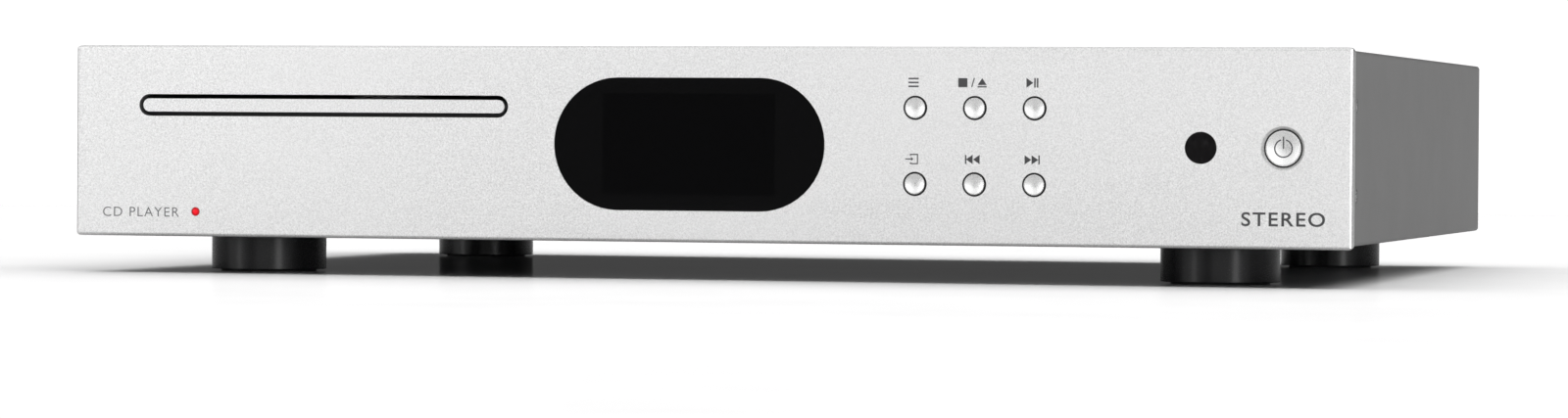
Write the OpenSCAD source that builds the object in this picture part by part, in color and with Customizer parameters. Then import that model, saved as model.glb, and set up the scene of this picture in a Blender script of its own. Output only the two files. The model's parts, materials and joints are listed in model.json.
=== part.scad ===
// Slim full-width hi-fi CD player: silver fascia, wrap-over cover and a belt-driven tray loader.
// X runs to the right, Y to the rear and Z up. The origin is the bottom centre of the whole object.
// Depths (the y values below) are counted from the front face of the fascia.

/* [Case] */
// Width of the fascia and the cover
case_w = 444; // [442:1:450]
// Depth from the fascia's front face to the cover's rear edge
case_depth = 330; // [330:1:334]
// Height of the fascia
fascia_h = 65.8; // [65.4:0.1:67]
// Thickness of the fascia
fascia_t = 4; // [3.8:0.1:4]
// Radius that rounds the front edges of the fascia
fascia_edge_r = 1.1; // [0.6:0.1:1.4]
// Radius of the fascia's four corners
fascia_corner_r = 1.8; // [1:0.1:3]
// Thickness of the sheet steel
sheet_t = 1.2; // [1:0.1:1.2]
// Step from the fascia's top edge down to the cover
cover_step = 1; // [0.8:0.1:1.2]
// Step from the fascia's bottom edge up to the base pan
base_step = 1.1; // [0.9:0.1:1.2]

/* [Feet] */
// Height from the floor to the fascia's bottom edge
foot_clear = 12.7; // [12:0.1:13]
// Radius of each front foot
front_foot_r = 20.1; // [18:0.1:21]
// Radius of each rear foot
rear_foot_r = 18.75; // [17:0.05:21]
// Distance of each foot from the middle of the case
foot_x = 170; // [165:1:175]
// Depth of the front feet
front_foot_y = 50.6; // [45:0.1:56]
// Depth of the rear feet
rear_foot_y = 293.6; // [285:0.1:295]

/* [Display] */
// Centre of the display window from the middle of the case
display_x = -1.6; // [-2:0.1:2]
// Width of the round-ended display window
display_w = 94.2; // [90:0.1:95]
// Height of the display window
display_h = 44.7; // [42:0.1:45]

/* [Tray] */
// Centre of the tray from the middle of the case
tray_x = -131.9; // [-132:0.1:-131]
// Width of the slot in the fascia
slot_w = 133.6; // [133:0.1:134]
// Height of the slot in the fascia
slot_h = 7.5; // [7:0.1:7.6]
// Width of the tray front
tray_front_w = 130.8; // [130:0.1:131]
// Height of the tray front
tray_front_h = 4.5; // [4.4:0.05:5]
// Width of the disc tray over its two edges
tray_w = 127.8; // [127.6:0.1:127.8]
// Radius of the well for a 120 mm disc
disc_well_r = 60.6; // [60.3:0.1:60.6]
// Radius of the inner well for an 80 mm disc
small_well_r = 40.5; // [40.3:0.1:41]

/* [Buttons] */
// Radius of the six small button caps
cap_r = 3.4; // [3.3:0.05:3.6]
// Radius of their holes in the fascia
cap_hole_r = 4.05; // [3.9:0.05:4.1]
// How far the small caps stand out
cap_proud = 0.5; // [0.3:0.1:1]
// Radius of the power button
power_r = 5.8; // [5.6:0.1:6]
// How far the power button's rim lies behind the face
power_sunk = 0.8; // [0.4:0.1:1]
// Radius of the power button's hole
power_hole_r = 6.35; // [6.2:0.05:6.6]
// Outer radius of the countersunk ring round the power button
power_ring_r = 7.2; // [7:0.05:7.6]
// Depth of that ring
power_ring_depth = 1; // [0.6:0.1:1.2]
// Travel of every button
button_travel = 0.6; // [0.3:0.1:0.6]

/* [Drive train] */
// Gear module of the tray drive
gear_module = 0.7; // [0.7:0.1:0.7]
// Teeth of the pinion that drives the tray's rack
pinion_teeth = 17; // [17:1:17]
// Teeth of the large gear on the pinion's hub
drive_teeth = 36; // [36:1:36]
// Teeth of the small gear on the pulley wheel
wheel_teeth = 16; // [16:1:16]
// Amount taken off each tooth for backlash
tooth_thinning = 0.16; // [0.12:0.01:0.2]

/* [Hidden] */
$fn = 48;

// Small distances used everywhere
run_gap = 0.06;         // radial gap of a shaft in its bore
fit_gap = 0.15;         // gap round a piece that slides or drops in
cut = 1;                // how far a cutting shape runs past a face

// The case
rear_proud = 7.5;       // the phono sockets' reach past the cover's rear edge
front_y = -(case_depth + rear_proud - cap_proud) / 2;
half_w = case_w / 2;
fascia_z = [foot_clear, foot_clear + fascia_h];
mid_z = (fascia_z[0] + fascia_z[1]) / 2;
cover_top = fascia_z[1] - cover_step;
pan_z = [foot_clear + base_step, foot_clear + base_step + sheet_t];
inner_half_w = half_w - sheet_t - 0.2;
subpanel_y = [fascia_t, fascia_t + sheet_t];
panel_y = [case_depth - 2 - sheet_t, case_depth - 2];
cover_y = [fascia_t + 0.3, case_depth];
cover_edge_r = 1.3;
lip_y = [panel_y[1], panel_y[1] + sheet_t];
lip_h = 10;
flange_depth = 18;      // depth of the sub-panel's side flanges
side_screw_y = 8.1;
side_screw_z = [30.2, 59.5];
side_head_sink = 0.3;   // depth of the side screws' heads below the cover
side_head_r = 2.4;
side_shank_r = 1.25;
pan_head_r = 2.75;
m3_r = 1.45;
rear_screw_x = [-200, -68, 68, 200];
lip_screw_x = [-190, 0, 190];
lip_screw_z = cover_top - 7;
panel_screw_z = pan_z[1] + 3.6;

// The feet
foot_lift = 0.6;        // bottom face of the foot above the floor
foot_edge_r = 0.3;
pad_reach = 0.83;       // pad radius as a share of the foot's
pad_inner_r = 6;
pad_top = 2.6;
screw_well_r = 5;
foot_screw_r = 1.95;
foot_nut_r = 4;
feet = [
    [-foot_x, front_foot_y, front_foot_r], [foot_x, front_foot_y, front_foot_r],
    [-foot_x, rear_foot_y, rear_foot_r], [foot_x, rear_foot_y, rear_foot_r]
];

// Pieces in the fascia
flange_over = 2.1;      // rear flange of the window beyond its opening
ir_x = 172.05;
ir_r = 5.2;
lamp_x = -177.85;
lamp_z = foot_clear + 8.55;
lamp_r = 1.5;
power_x = 199.05;
column_x = [76.4, 96.55, 116.7];
row_z = [mid_z - 12.6, mid_z + 12.6];
flange_y = [fascia_t + 0.05, fascia_t + 1.05];
stem_end = 10.9;
stem_r = 2;
power_stem_r = 2.5;
guide_x = [64, 212];
guide_z = [25.5, 66];
guide_y = [subpanel_y[1], 9];
guide_pocket_y = 7;
button_pocket_x = [68, 125];
power_pocket_r = 9;
plunger_y = stem_end + button_travel + 0.05;
front_board_x = [-60, 213];
front_board_z = [19.5, 72.5];
front_board_y = [15.2, 16.8];
front_spacers = [for (x = [-56, 60, 209], z = [22.6, 69.6]) [x, z]];

// Boards and the supply
board_z = [pan_z[1] + 8, pan_z[1] + 9.6];
main_board_x = [-48, 96];
main_board_y = [96, 318];
supply_board_x = [108, 208];
supply_board_y = [150, 300];
board_inset = 5;
board_posts = [
    for (x = [main_board_x[0] + board_inset, main_board_x[1] - board_inset], y = [101, 200, 300]) [x, y],
    for (x = [supply_board_x[0] + board_inset, supply_board_x[1] - board_inset], y = [155, 295]) [x, y]
];
core_x = 155;
core_y = 98;
core_z = [pan_z[1] + 1.5, pan_z[1] + 41.5];
core_r = [15, 43];
core_bolt_r = 3;

// Rear sockets
phono_x = [-32, -10];
coax_x = 20;
optical_x = 48;
trigger_x = [-118, -94];
phono_z = board_z[1] + 13;
trigger_z = 45;
inlet_x = 180;
switch_x = 138;
socket_z = 45;
phono_r = 4.15;
trigger_bore_r = 1.8;
shutter_axis = [panel_y[1] + 0.3, phono_z + 2.7];
rocker_tilt = 8;
rocker_y = panel_y[1] - 2.5;

// The tray. Every x of the loader is counted from the tray's centre line.
slot_z = foot_clear + 45.2;
tray_front_y = [0.2, 3.2];
tray_y = [tray_front_y[1], 198];
tray_z = [slot_z - 2, slot_z + 2.1];
well_z = slot_z - 0.3;
small_well_z = well_z - 0.6;
disc_y = 72;
tray_hole_r = 23;
loader_y = [10, 212];
wall_x = [66, 69];
wall_z = [36, 62];
bar_t = 4;
ledge_x = 58;
ledge_z = [tray_z[0] - 2, tray_z[0] - 0.1];
lip_x = 61.5;
lip_z = [tray_z[1] + fit_gap, tray_z[1] + 1.6];
lip_spans = [[52, 60], [100, 150]];
shelf_x = [66, 108];
shelf_y = [22, 92];
shelf_z = [36, 39];
stand_y = [30, 200];
stand_x = [58, 69];

// Gears: the pinion runs in the rack on the tray's right edge
pressure_angle = 20;
addendum = 0.95 * gear_module;
dedendum = 1.25 * gear_module;
rack_pitch = PI * gear_module;
rack_line_x = tray_w / 2 - addendum;
rack_z = [tray_z[0], tray_z[0] + 1.95];
pinion_r = pinion_teeth * gear_module / 2;
drive_pos = [rack_line_x + pinion_r, 34];
mesh_angle = 30;
wheel_distance = (drive_teeth + wheel_teeth) * gear_module / 2 + 0.02;
wheel_pos = drive_pos + wheel_distance * [cos(mesh_angle), sin(mesh_angle)];
motor_pos = [92, 76];
gear_z = [50, 52.4];
post_r = 2;
pulley_z = [43.5, 47.5];
belt_z = [44.6, 46.4];
belt_t = 1.2;
wheel_groove_r = 12;
motor_groove_r = 3;
groove_lip = 1;
motor_shaft_r = 1;
loading_motor_r = 11;
loading_motor_z = [18, 36];

// The sub-chassis tips about a cross pin at its rear end
sub_half_w = 46;
sub_y = [52, 190];
sub_z = [50, 52];
pivot_y = 186;
pivot_r = 2;
pivot_boss_r = 3.5;
spindle_motor_r = 13;
turntable_z = [56.5, 59];
turntable_r = 15;
hub_r = 7.45;
hub_top = 61;
sled_window_x = 23;
sled_window_y = [86, 156];
rod_x = 20;
rod_z = 47;
rod_r = 1.5;
rod_y = [82, 160];
sled_y = [87, 119];
lens_y = disc_y + 23;
screw_x = 31;
screw_z = 46;
sled_arm_y = [98, 106];
sled_motor_y = [152, 172];
bridge_y = [56, 88];
bridge_z = [wall_z[1], wall_z[1] + sheet_t];
puck_hole_r = 11;
puck_z = [60.25, wall_z[1] - 0.1];

// Colours
silver = [0.83, 0.83, 0.84];
cover_grey = [0.55, 0.56, 0.57];
steel = [0.72, 0.73, 0.74];
black = [0.06, 0.06, 0.065];
board_green = [0.05, 0.28, 0.14];
brass = [0.78, 0.62, 0.3];

function span(s) = s[1] - s[0];

// ---- Shapes that repeat ----

// A box from three spans
module block(x, y, z) {
    translate([x[0], front_y + y[0], z[0]]) cube([span(x), span(y), span(z)]);
}

// A round bar upright, along the depth or across the width
module bar_z(x, y, z, r) {
    translate([x, front_y + y, z[0]]) cylinder(h = span(z), r = r);
}

module bar_y(x, y, z, r) {
    translate([x, front_y + y[0], z]) rotate([-90, 0, 0]) cylinder(h = span(y), r = r);
}

module bar_x(x, y, z, r) {
    translate([x[0], front_y + y, z]) rotate([0, 90, 0]) cylinder(h = span(x), r = r);
}

// A cone along the depth, wide end first
module cone_y(x, y, z, r) {
    translate([x, front_y + y[0], z]) rotate([-90, 0, 0]) cylinder(h = span(y), r1 = r[0], r2 = r[1]);
}

// An outline in the front view, drawn out over a span of depth
module front_section(y) {
    translate([0, front_y + y[1], 0]) rotate([90, 0, 0]) linear_extrude(span(y)) children();
}

// An outline in the side view, drawn out over a span of width
module side_section(x) {
    translate([x[0], front_y, 0]) rotate([90, 0, 90]) linear_extrude(span(x)) children();
}

module square_span(x, z) {
    translate([x[0], z[0]]) square([span(x), span(z)]);
}

module rounded_span(x, z, r) {
    square_span([x[0] + r, x[1] - r], z);
    square_span(x, [z[0] + r, z[1] - r]);
    for (cx = [x[0] + r, x[1] - r], cz = [z[0] + r, z[1] - r])
        translate([cx, cz]) circle(r = r);
}

// A long outline with half-round ends
module stadium(x, z, w, h) {
    square_span([x - (w - h) / 2, x + (w - h) / 2], [z - h / 2, z + h / 2]);
    for (side = [-1, 1])
        translate([x + side * (w - h) / 2, z]) circle(r = h / 2);
}

// Moves the loader's own x to its place in the case
module in_loader() {
    translate([tray_x, 0, 0]) children();
}

// A cross recess that faces +Z
module cross_recess(width, slot, depth) {
    for (turn = [0, 90])
        rotate([0, 0, turn]) translate([-width / 2, -slot / 2, -depth]) cube([width, slot, depth + cut]);
}

// A pan-head screw along the depth, head to the rear
module rear_screw(x, z, y, length) {
    difference() {
        union() {
            bar_y(x, [y, y + 1.2], z, pan_head_r);
            bar_y(x, [y, y + 1.8], z, pan_head_r - 0.6);
            bar_y(x, [y - length, y], z, m3_r);
        }
        translate([x, front_y + y + 1.8, z]) rotate([-90, 0, 0]) cross_recess(2.6, 0.5, 1);
    }
}

// ---- Gears ----

function involute_angle(a) = tan(a) * 180 / PI - a;
function half_tooth(r, teeth) = let (pitch_r = teeth * gear_module / 2)
    90 / teeth - tooth_thinning / pitch_r * 90 / PI + involute_angle(pressure_angle)
    - involute_angle(acos(min(1, pitch_r * cos(pressure_angle) / r)));
function flank_radius(i, teeth) = let (pitch_r = teeth * gear_module / 2)
    pitch_r - dedendum + (addendum + dedendum) * i / 3;
function gear_outline(teeth) = [
    for (k = [0 : teeth - 1], side = [-1, 1], i = [0 : 3])
        let (r = flank_radius(side < 0 ? i : 3 - i, teeth), a = k * 360 / teeth + side * half_tooth(r, teeth))
        r * [cos(a), sin(a)]
];
function tooth_half_width(height) = rack_pitch / 4 - tooth_thinning / 2 - height * tan(pressure_angle);
function rack_outline(first, last) = [
    [rack_line_x - dedendum - 0.4, drive_pos[1] + first * rack_pitch - tooth_half_width(-dedendum)],
    for (k = [first : last], p = [[-dedendum, -1], [addendum, -1], [addendum, 1], [-dedendum, 1]])
        [rack_line_x + p[0], drive_pos[1] + k * rack_pitch + p[1] * tooth_half_width(p[0])],
    [rack_line_x - dedendum - 0.4, drive_pos[1] + last * rack_pitch + tooth_half_width(-dedendum)]
];

module gear(teeth, z, turn) {
    translate([0, 0, z[0]]) rotate([0, 0, turn]) linear_extrude(span(z)) polygon(gear_outline(teeth));
}

// ---- Case ----

module front_fascia() {
    color(silver) difference() {
        intersection() {
            front_section([0, fascia_t])
                rounded_span([-half_w, half_w], fascia_z, fascia_corner_r);
            side_section([-half_w, half_w]) union() {
                square_span([fascia_edge_r, fascia_t], fascia_z);
                square_span([0, fascia_t], [fascia_z[0] + fascia_edge_r, fascia_z[1] - fascia_edge_r]);
                for (z = [fascia_z[0] + fascia_edge_r, fascia_z[1] - fascia_edge_r])
                    translate([fascia_edge_r, z]) circle(r = fascia_edge_r);
            }
            translate([0, front_y, fascia_z[0]]) linear_extrude(fascia_h) union() {
                square_span([-half_w, half_w], [fascia_edge_r, fascia_t]);
                square_span([-half_w + fascia_edge_r, half_w - fascia_edge_r], [0, fascia_t]);
                for (side = [-1, 1])
                    translate([side * (half_w - fascia_edge_r), fascia_edge_r]) circle(r = fascia_edge_r);
            }
        }
        front_section([-cut, fascia_t + cut]) stadium(display_x, mid_z, display_w, display_h);
        front_section([-cut, fascia_t + cut]) stadium(tray_x, slot_z, slot_w, slot_h);
        for (x = column_x, z = row_z)
            bar_y(x, [-cut, fascia_t + cut], z, cap_hole_r);
        bar_y(ir_x, [-cut, fascia_t + cut], mid_z, ir_r + 0.08);
        bar_y(lamp_x, [-cut, fascia_t + cut], lamp_z, lamp_r + 0.05);
        bar_y(power_x, [-cut, fascia_t + cut], mid_z, power_hole_r);
        cone_y(power_x, [0, power_ring_depth], mid_z, [power_ring_r, power_hole_r]);
    }
}

module front_subpanel() {
    color(steel) difference() {
        union() {
            block([-inner_half_w, inner_half_w], subpanel_y, [pan_z[1] + 0.2, cover_top - sheet_t - 0.3]);
            for (side = [-1, 1])
                mirror([side < 0 ? 1 : 0, 0, 0])
                    block([inner_half_w - sheet_t, inner_half_w], [subpanel_y[0], flange_depth],
                        [pan_z[1] + 0.2, cover_top - sheet_t - 0.3]);
        }
        front_section([0, subpanel_y[1] + cut]) stadium(display_x, mid_z, display_w + 2 * flange_over + 0.4,
            display_h + 2 * flange_over + 0.4);
        front_section([0, subpanel_y[1] + cut]) stadium(tray_x, slot_z, slot_w + 3, slot_h + 3);
        block(button_pocket_x, [0, subpanel_y[1] + cut], [row_z[0] - 5.2, row_z[1] + 5.2]);
        bar_y(ir_x, [0, subpanel_y[1] + cut], mid_z, ir_r + 1.3);
        bar_y(lamp_x, [0, subpanel_y[1] + cut], lamp_z, lamp_r + 1.1);
        bar_y(power_x, [0, subpanel_y[1] + cut], mid_z, power_pocket_r);
        for (z = side_screw_z)
            bar_x([-half_w, half_w], side_screw_y, z, side_shank_r + 0.05);
    }
}

module base_pan() {
    color(steel) difference() {
        union() {
            block([-inner_half_w, inner_half_w], [fascia_t, panel_y[0]], pan_z);
            block([-inner_half_w, inner_half_w], [panel_y[0] - sheet_t, panel_y[0]],
                [pan_z[0], pan_z[1] + 8]);
        }
        for (foot = feet)
            bar_z(foot[0], foot[1], [0, pan_z[1] + cut], foot_screw_r + 0.1);
        bar_z(core_x, core_y, [0, pan_z[1] + cut], core_bolt_r + 0.05);
        for (i = [0 : 8]) {
            block([-28 + i * 11, -24 + i * 11], [120, 165], [0, pan_z[1] + cut]);
            block([118 + i * 9, 122 + i * 9], [190, 225], [0, pan_z[1] + cut]);
        }
        for (x = rear_screw_x)
            bar_y(x, [panel_y[0] - 2 * sheet_t, case_depth], panel_screw_z, m3_r + 0.05);
    }
}

// A rectangular hole through the rear panel
module panel_hole(x, z, w, h) {
    block([x - w / 2, x + w / 2], [panel_y[0] - cut, case_depth], [z - h / 2, z + h / 2]);
}

module rear_panel() {
    color(steel) difference() {
        block([-inner_half_w, inner_half_w], panel_y, [pan_z[0], cover_top - sheet_t - 0.2]);
        for (x = concat(phono_x, [coax_x]))
            bar_y(x, [panel_y[0] - cut, case_depth], phono_z, phono_r + 1.1);
        for (x = trigger_x)
            bar_y(x, [panel_y[0] - cut, case_depth], trigger_z, trigger_bore_r + 2.1);
        panel_hole(optical_x, phono_z, 12.2, 12.2);
        panel_hole(inlet_x, socket_z, 27.2, 19.6);
        panel_hole(switch_x, socket_z, 13.2, 19.4);
        for (x = rear_screw_x)
            bar_y(x, [panel_y[0] - cut, case_depth], panel_screw_z, m3_r + 0.05);
        for (x = lip_screw_x)
            bar_y(x, [panel_y[0] - cut, case_depth], lip_screw_z, m3_r + 0.05);
    }
}

// Puts a shape at a side screw's place, with +Z into the case
module at_side_screw(side, z) {
    translate([side * half_w, front_y + side_screw_y, z]) rotate([0, -90 * side, 0]) children();
}

module top_cover() {
    color(cover_grey) difference() {
        union() {
            difference() {
                front_section(cover_y)
                    rounded_span([-half_w, half_w], [pan_z[0], cover_top], cover_edge_r);
                block([sheet_t - half_w, half_w - sheet_t], [0, case_depth + cut], [0, cover_top - sheet_t]);
            }
            block([2 - half_w, half_w - 2], lip_y, [cover_top - sheet_t - lip_h, cover_top - sheet_t + 0.2]);
        }
        for (side = [-1, 1], z = side_screw_z)
            at_side_screw(side, z) {
                translate([0, 0, -cut]) cylinder(h = side_head_sink + cut, r = side_head_r + 0.03);
                translate([0, 0, side_head_sink])
                    cylinder(h = sheet_t - side_head_sink, r1 = side_head_r + 0.03, r2 = side_shank_r + 0.03);
            }
        for (x = lip_screw_x)
            bar_y(x, [lip_y[0] - cut, case_depth + cut], lip_screw_z, m3_r + 0.05);
    }
}

// Four countersunk side screws, three in the cover's rear lip and four along the rear panel's foot
module case_screws() {
    color(steel) {
        for (side = [-1, 1], z = side_screw_z)
            at_side_screw(side, z) translate([0, 0, side_head_sink]) difference() {
                union() {
                    cylinder(h = sheet_t - side_head_sink, r1 = side_head_r, r2 = side_shank_r);
                    cylinder(h = 5.7, r = side_shank_r);
                }
                mirror([0, 0, 1]) cross_recess(3, 0.7, 0.5);
            }
        for (x = lip_screw_x)
            rear_screw(x, lip_screw_z, lip_y[1], 6);
        for (x = rear_screw_x)
            rear_screw(x, panel_screw_z, panel_y[1], 6);
    }
}

// ---- Feet ----

module foot(place) {
    r = place[2];
    color(black) translate([place[0], front_y + place[1], 0]) difference() {
        rotate_extrude() union() {
            square_span([0, r - foot_edge_r], [foot_lift, pan_z[0]]);
            square_span([0, r], [foot_lift + foot_edge_r, pan_z[0]]);
            translate([r - foot_edge_r, foot_lift + foot_edge_r]) circle(r = foot_edge_r);
        }
        translate([0, 0, -cut]) cylinder(h = pan_z[0] + 2 * cut, r = foot_screw_r + 0.1);
        translate([0, 0, -cut]) cylinder(h = pan_z[0] - 4 + cut, r = screw_well_r);
        difference() {
            translate([0, 0, -cut]) cylinder(h = pad_top + cut, r = r * pad_reach);
            translate([0, 0, -cut]) cylinder(h = pad_top + 2 * cut, r = pad_inner_r);
        }
    }
}

module foot_front_left() { foot(feet[0]); }
module foot_front_right() { foot(feet[1]); }
module foot_rear_left() { foot(feet[2]); }
module foot_rear_right() { foot(feet[3]); }

module foot_pads() {
    color([0.02, 0.02, 0.02]) for (place = feet)
        translate([place[0], front_y + place[1], 0]) difference() {
            cylinder(h = pad_top, r = place[2] * pad_reach);
            translate([0, 0, -cut]) cylinder(h = pad_top + 2 * cut, r = pad_inner_r);
        }
}

// One screw and one nut for each foot
module foot_screws() {
    color(steel) for (place = feet) {
        bar_z(place[0], place[1], [pan_z[0] - 6.4, pan_z[0] - 4], 3.6);
        bar_z(place[0], place[1], [pan_z[0] - 4, pan_z[1] + 4.5], foot_screw_r);
        difference() {
            translate([place[0], front_y + place[1], pan_z[1]]) cylinder(h = 3.2, r = foot_nut_r, $fn = 6);
            bar_z(place[0], place[1], [pan_z[1] - cut, pan_z[1] + 4.5], foot_screw_r);
        }
    }
}

// ---- Fascia fittings ----

module display_window() {
    color(black) union() {
        front_section([0, fascia_t + 0.02])
            stadium(display_x, mid_z, display_w - 2 * fit_gap, display_h - 2 * fit_gap);
        front_section([fascia_t, subpanel_y[1]])
            stadium(display_x, mid_z, display_w + 2 * flange_over, display_h + 2 * flange_over);
    }
}

module display_module() {
    color([0.1, 0.1, 0.12]) block([display_x - 30, display_x + 30], [subpanel_y[1], front_board_y[0]],
        [mid_z - 17, mid_z + 17]);
}

module ir_window() {
    color([0.1, 0.03, 0.05]) union() {
        bar_y(ir_x, [0, fascia_t], mid_z, ir_r);
        bar_y(ir_x, [fascia_t, subpanel_y[1]], mid_z, ir_r + 1.2);
    }
}

module power_lamp() {
    color([0.95, 0.1, 0.16]) union() {
        intersection() {
            translate([lamp_x, front_y + 2.4, lamp_z]) sphere(r = 2.7);
            bar_y(lamp_x, [-cut, fascia_t], lamp_z, lamp_r);
        }
        bar_y(lamp_x, [2, 10], lamp_z, lamp_r);
        bar_y(lamp_x, [fascia_t, subpanel_y[1]], lamp_z, lamp_r + 1);
    }
}

// A cap on a round stem: its face is dished inside a narrow rim, and a flange behind the fascia retains it
module cap(x, z, face_y, r, shaft_r, dish, rim) {
    dish_r = ((r - rim) * (r - rim) + dish * dish) / (2 * dish);
    color(silver) difference() {
        union() {
            bar_y(x, [face_y + rim / 2, flange_y[0]], z, r);
            bar_y(x, [face_y, flange_y[0]], z, r - rim / 2);
            bar_y(x, flange_y, z, r + 1.1);
            bar_y(x, [flange_y[1], stem_end], z, shaft_r);
        }
        translate([x, front_y + face_y + dish - dish_r, z]) sphere(r = dish_r, $fn = 96);
    }
}

module small_button(x, z) { cap(x, z, -cap_proud, cap_r, stem_r, 0.35, 0.3); }

module button_menu() { small_button(column_x[0], row_z[1]); }
module button_stop_eject() { small_button(column_x[1], row_z[1]); }
module button_play_pause() { small_button(column_x[2], row_z[1]); }
module button_source() { small_button(column_x[0], row_z[0]); }
module button_previous() { small_button(column_x[1], row_z[0]); }
module button_next() { small_button(column_x[2], row_z[0]); }

module button_power() { cap(power_x, mid_z, power_sunk, power_r, power_stem_r, 0.5, 0.4); }

module button_guide() {
    color([0.75, 0.75, 0.72]) difference() {
        block(guide_x, guide_y, guide_z);
        block(button_pocket_x, [0, guide_pocket_y], [row_z[0] - 5.2, row_z[1] + 5.2]);
        bar_y(power_x, [0, guide_pocket_y], mid_z, power_pocket_r);
        bar_y(ir_x, [0, guide_y[1] + cut], mid_z, ir_r + 1.5);
        block([130, 160], [0, guide_y[1] + cut], [row_z[0], row_z[1]]);
        for (x = column_x, z = row_z)
            bar_y(x, [0, guide_y[1] + cut], z, stem_r + run_gap);
        bar_y(power_x, [0, guide_y[1] + cut], mid_z, power_stem_r + run_gap);
    }
}

module front_board() {
    color(board_green) difference() {
        block(front_board_x, front_board_y, front_board_z);
        for (p = front_spacers)
            bar_y(p[0], [0, front_board_y[1] + cut], p[1], m3_r + 0.05);
    }
}

// Seven push switches and the infra-red receiver
module front_board_parts() {
    color([0.2, 0.2, 0.22]) {
        for (p = [for (x = column_x, z = row_z) [x, z], [power_x, mid_z]]) union() {
            block([p[0] - 3, p[0] + 3], [plunger_y + 0.6, front_board_y[0]], [p[1] - 3, p[1] + 3]);
            bar_y(p[0], [plunger_y, plunger_y + 0.7], p[1], 1.7);
        }
        union() {
            block([ir_x - 3.5, ir_x + 3.5], [11, front_board_y[0]], [mid_z - 4, mid_z + 4]);
            translate([ir_x, front_y + 11, mid_z]) sphere(r = 2.4);
        }
    }
}

// ---- Boards ----

module board(x, y) {
    difference() {
        block(x, y, board_z);
        for (p = board_posts)
            bar_z(p[0], p[1], [0, board_z[1] + cut], m3_r + 0.05);
    }
}

module main_board() { color(board_green) board(main_board_x, main_board_y); }
module supply_board() { color([0.45, 0.36, 0.12]) board(supply_board_x, supply_board_y); }

// Chips, capacitors, a clock can, relays and a heat sink stand on the two boards
module board_parts() {
    top = board_z[1];
    color([0.09, 0.09, 0.1]) {
        block([8, 36], [180, 208], [top, top + 2.2]);
        for (i = [0 : 2])
            block([-30 + i * 24, -16 + i * 24], [226, 236], [top, top + 1.8]);
        for (i = [0 : 3])
            block([50, 64], [100 + i * 22, 108 + i * 22], [top, top + 4]);
        for (i = [0 : 1])
            block([130 + i * 24, 146 + i * 24], [270, 284], [top, top + 15]);
    }
    color([0.12, 0.14, 0.35]) {
        for (i = [0 : 3])
            bar_z(-30 + i * 17, 260, [top, top + 14], 5);
        for (i = [0 : 2])
            bar_z(126 + i * 30, 176, [top, top + 30], 11);
        for (i = [0 : 3])
            bar_z(-34 + i * 12, 118, [top, top + 11], 4);
    }
    color(steel) {
        block([-4, 14], [150, 166], [top, top + 6]);
        for (i = [0 : 6])
            block([120 + i * 9, 122 + i * 9], [200, 240], [top + 2, top + 28]);
        block([118, 178], [200, 240], [top, top + 2]);
    }
}

// A hexagonal standoff with its screw under and over every board
module board_fixings() {
    color(brass) {
        for (p = board_posts) difference() {
            translate([p[0], front_y + p[1], pan_z[1]]) cylinder(h = board_z[0] - pan_z[1], r = 2.9, $fn = 6);
            bar_z(p[0], p[1], [pan_z[1] + 2, board_z[1]], m3_r + 0.05);
        }
        for (p = front_spacers) difference() {
            translate([p[0], front_y + subpanel_y[1], p[1]]) rotate([-90, 0, 0])
                cylinder(h = front_board_y[0] - subpanel_y[1], r = 2.8, $fn = 6);
            bar_y(p[0], [subpanel_y[1] + 3, front_board_y[1]], p[1], m3_r + 0.05);
        }
    }
    color(steel) {
        for (p = board_posts) {
            bar_z(p[0], p[1], [board_z[1], board_z[1] + 1.8], pan_head_r);
            bar_z(p[0], p[1], [pan_z[1] + 3, board_z[1]], m3_r);
        }
        for (p = front_spacers)
            rear_screw(p[0], p[1], front_board_y[1], 7);
    }
}

module mains_transformer() {
    color([0.72, 0.5, 0.16]) translate([core_x, front_y + core_y, 0])
        rotate_extrude() rounded_span(core_r, core_z, 8);
}

// Rubber washer, dished plate, bolt and nut that clamp the transformer
module transformer_fixings() {
    color(black) difference() {
        bar_z(core_x, core_y, [pan_z[1], core_z[0]], 36);
        bar_z(core_x, core_y, [0, core_z[0] + cut], core_bolt_r + 0.05);
    }
    color(steel) {
        difference() {
            bar_z(core_x, core_y, [core_z[1], core_z[1] + 1.5], 32);
            bar_z(core_x, core_y, [0, core_z[1] + 5], core_bolt_r + 0.05);
        }
        union() {
            bar_z(core_x, core_y, [pan_z[0] - 2.5, pan_z[0]], 5.5);
            bar_z(core_x, core_y, [pan_z[0], core_z[1] + 8], core_bolt_r);
        }
        difference() {
            translate([core_x, front_y + core_y, core_z[1] + 1.5]) cylinder(h = 5, r = 5.7, $fn = 6);
            bar_z(core_x, core_y, [0, core_z[1] + 8], core_bolt_r + 0.05);
        }
    }
}

// ---- Rear sockets ----

module mains_inlet() {
    color(black) difference() {
        union() {
            block([inlet_x - 13.5, inlet_x + 13.5], [305, panel_y[1]], [socket_z - 9.7, socket_z + 9.7]);
            block([inlet_x - 15.2, inlet_x + 15.2], [panel_y[1], panel_y[1] + 2.2],
                [socket_z - 11, socket_z + 11]);
        }
        block([inlet_x - 12, inlet_x + 12], [313, case_depth + 2], [socket_z - 8, socket_z + 8]);
    }
}

module mains_pins() {
    color(brass) {
        for (side = [-1, 1])
            block([inlet_x + side * 7 - 1, inlet_x + side * 7 + 1], [313, 323], [socket_z - 4, socket_z]);
        block([inlet_x - 1, inlet_x + 1], [313, 323], [socket_z + 1, socket_z + 5]);
    }
}

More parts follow.
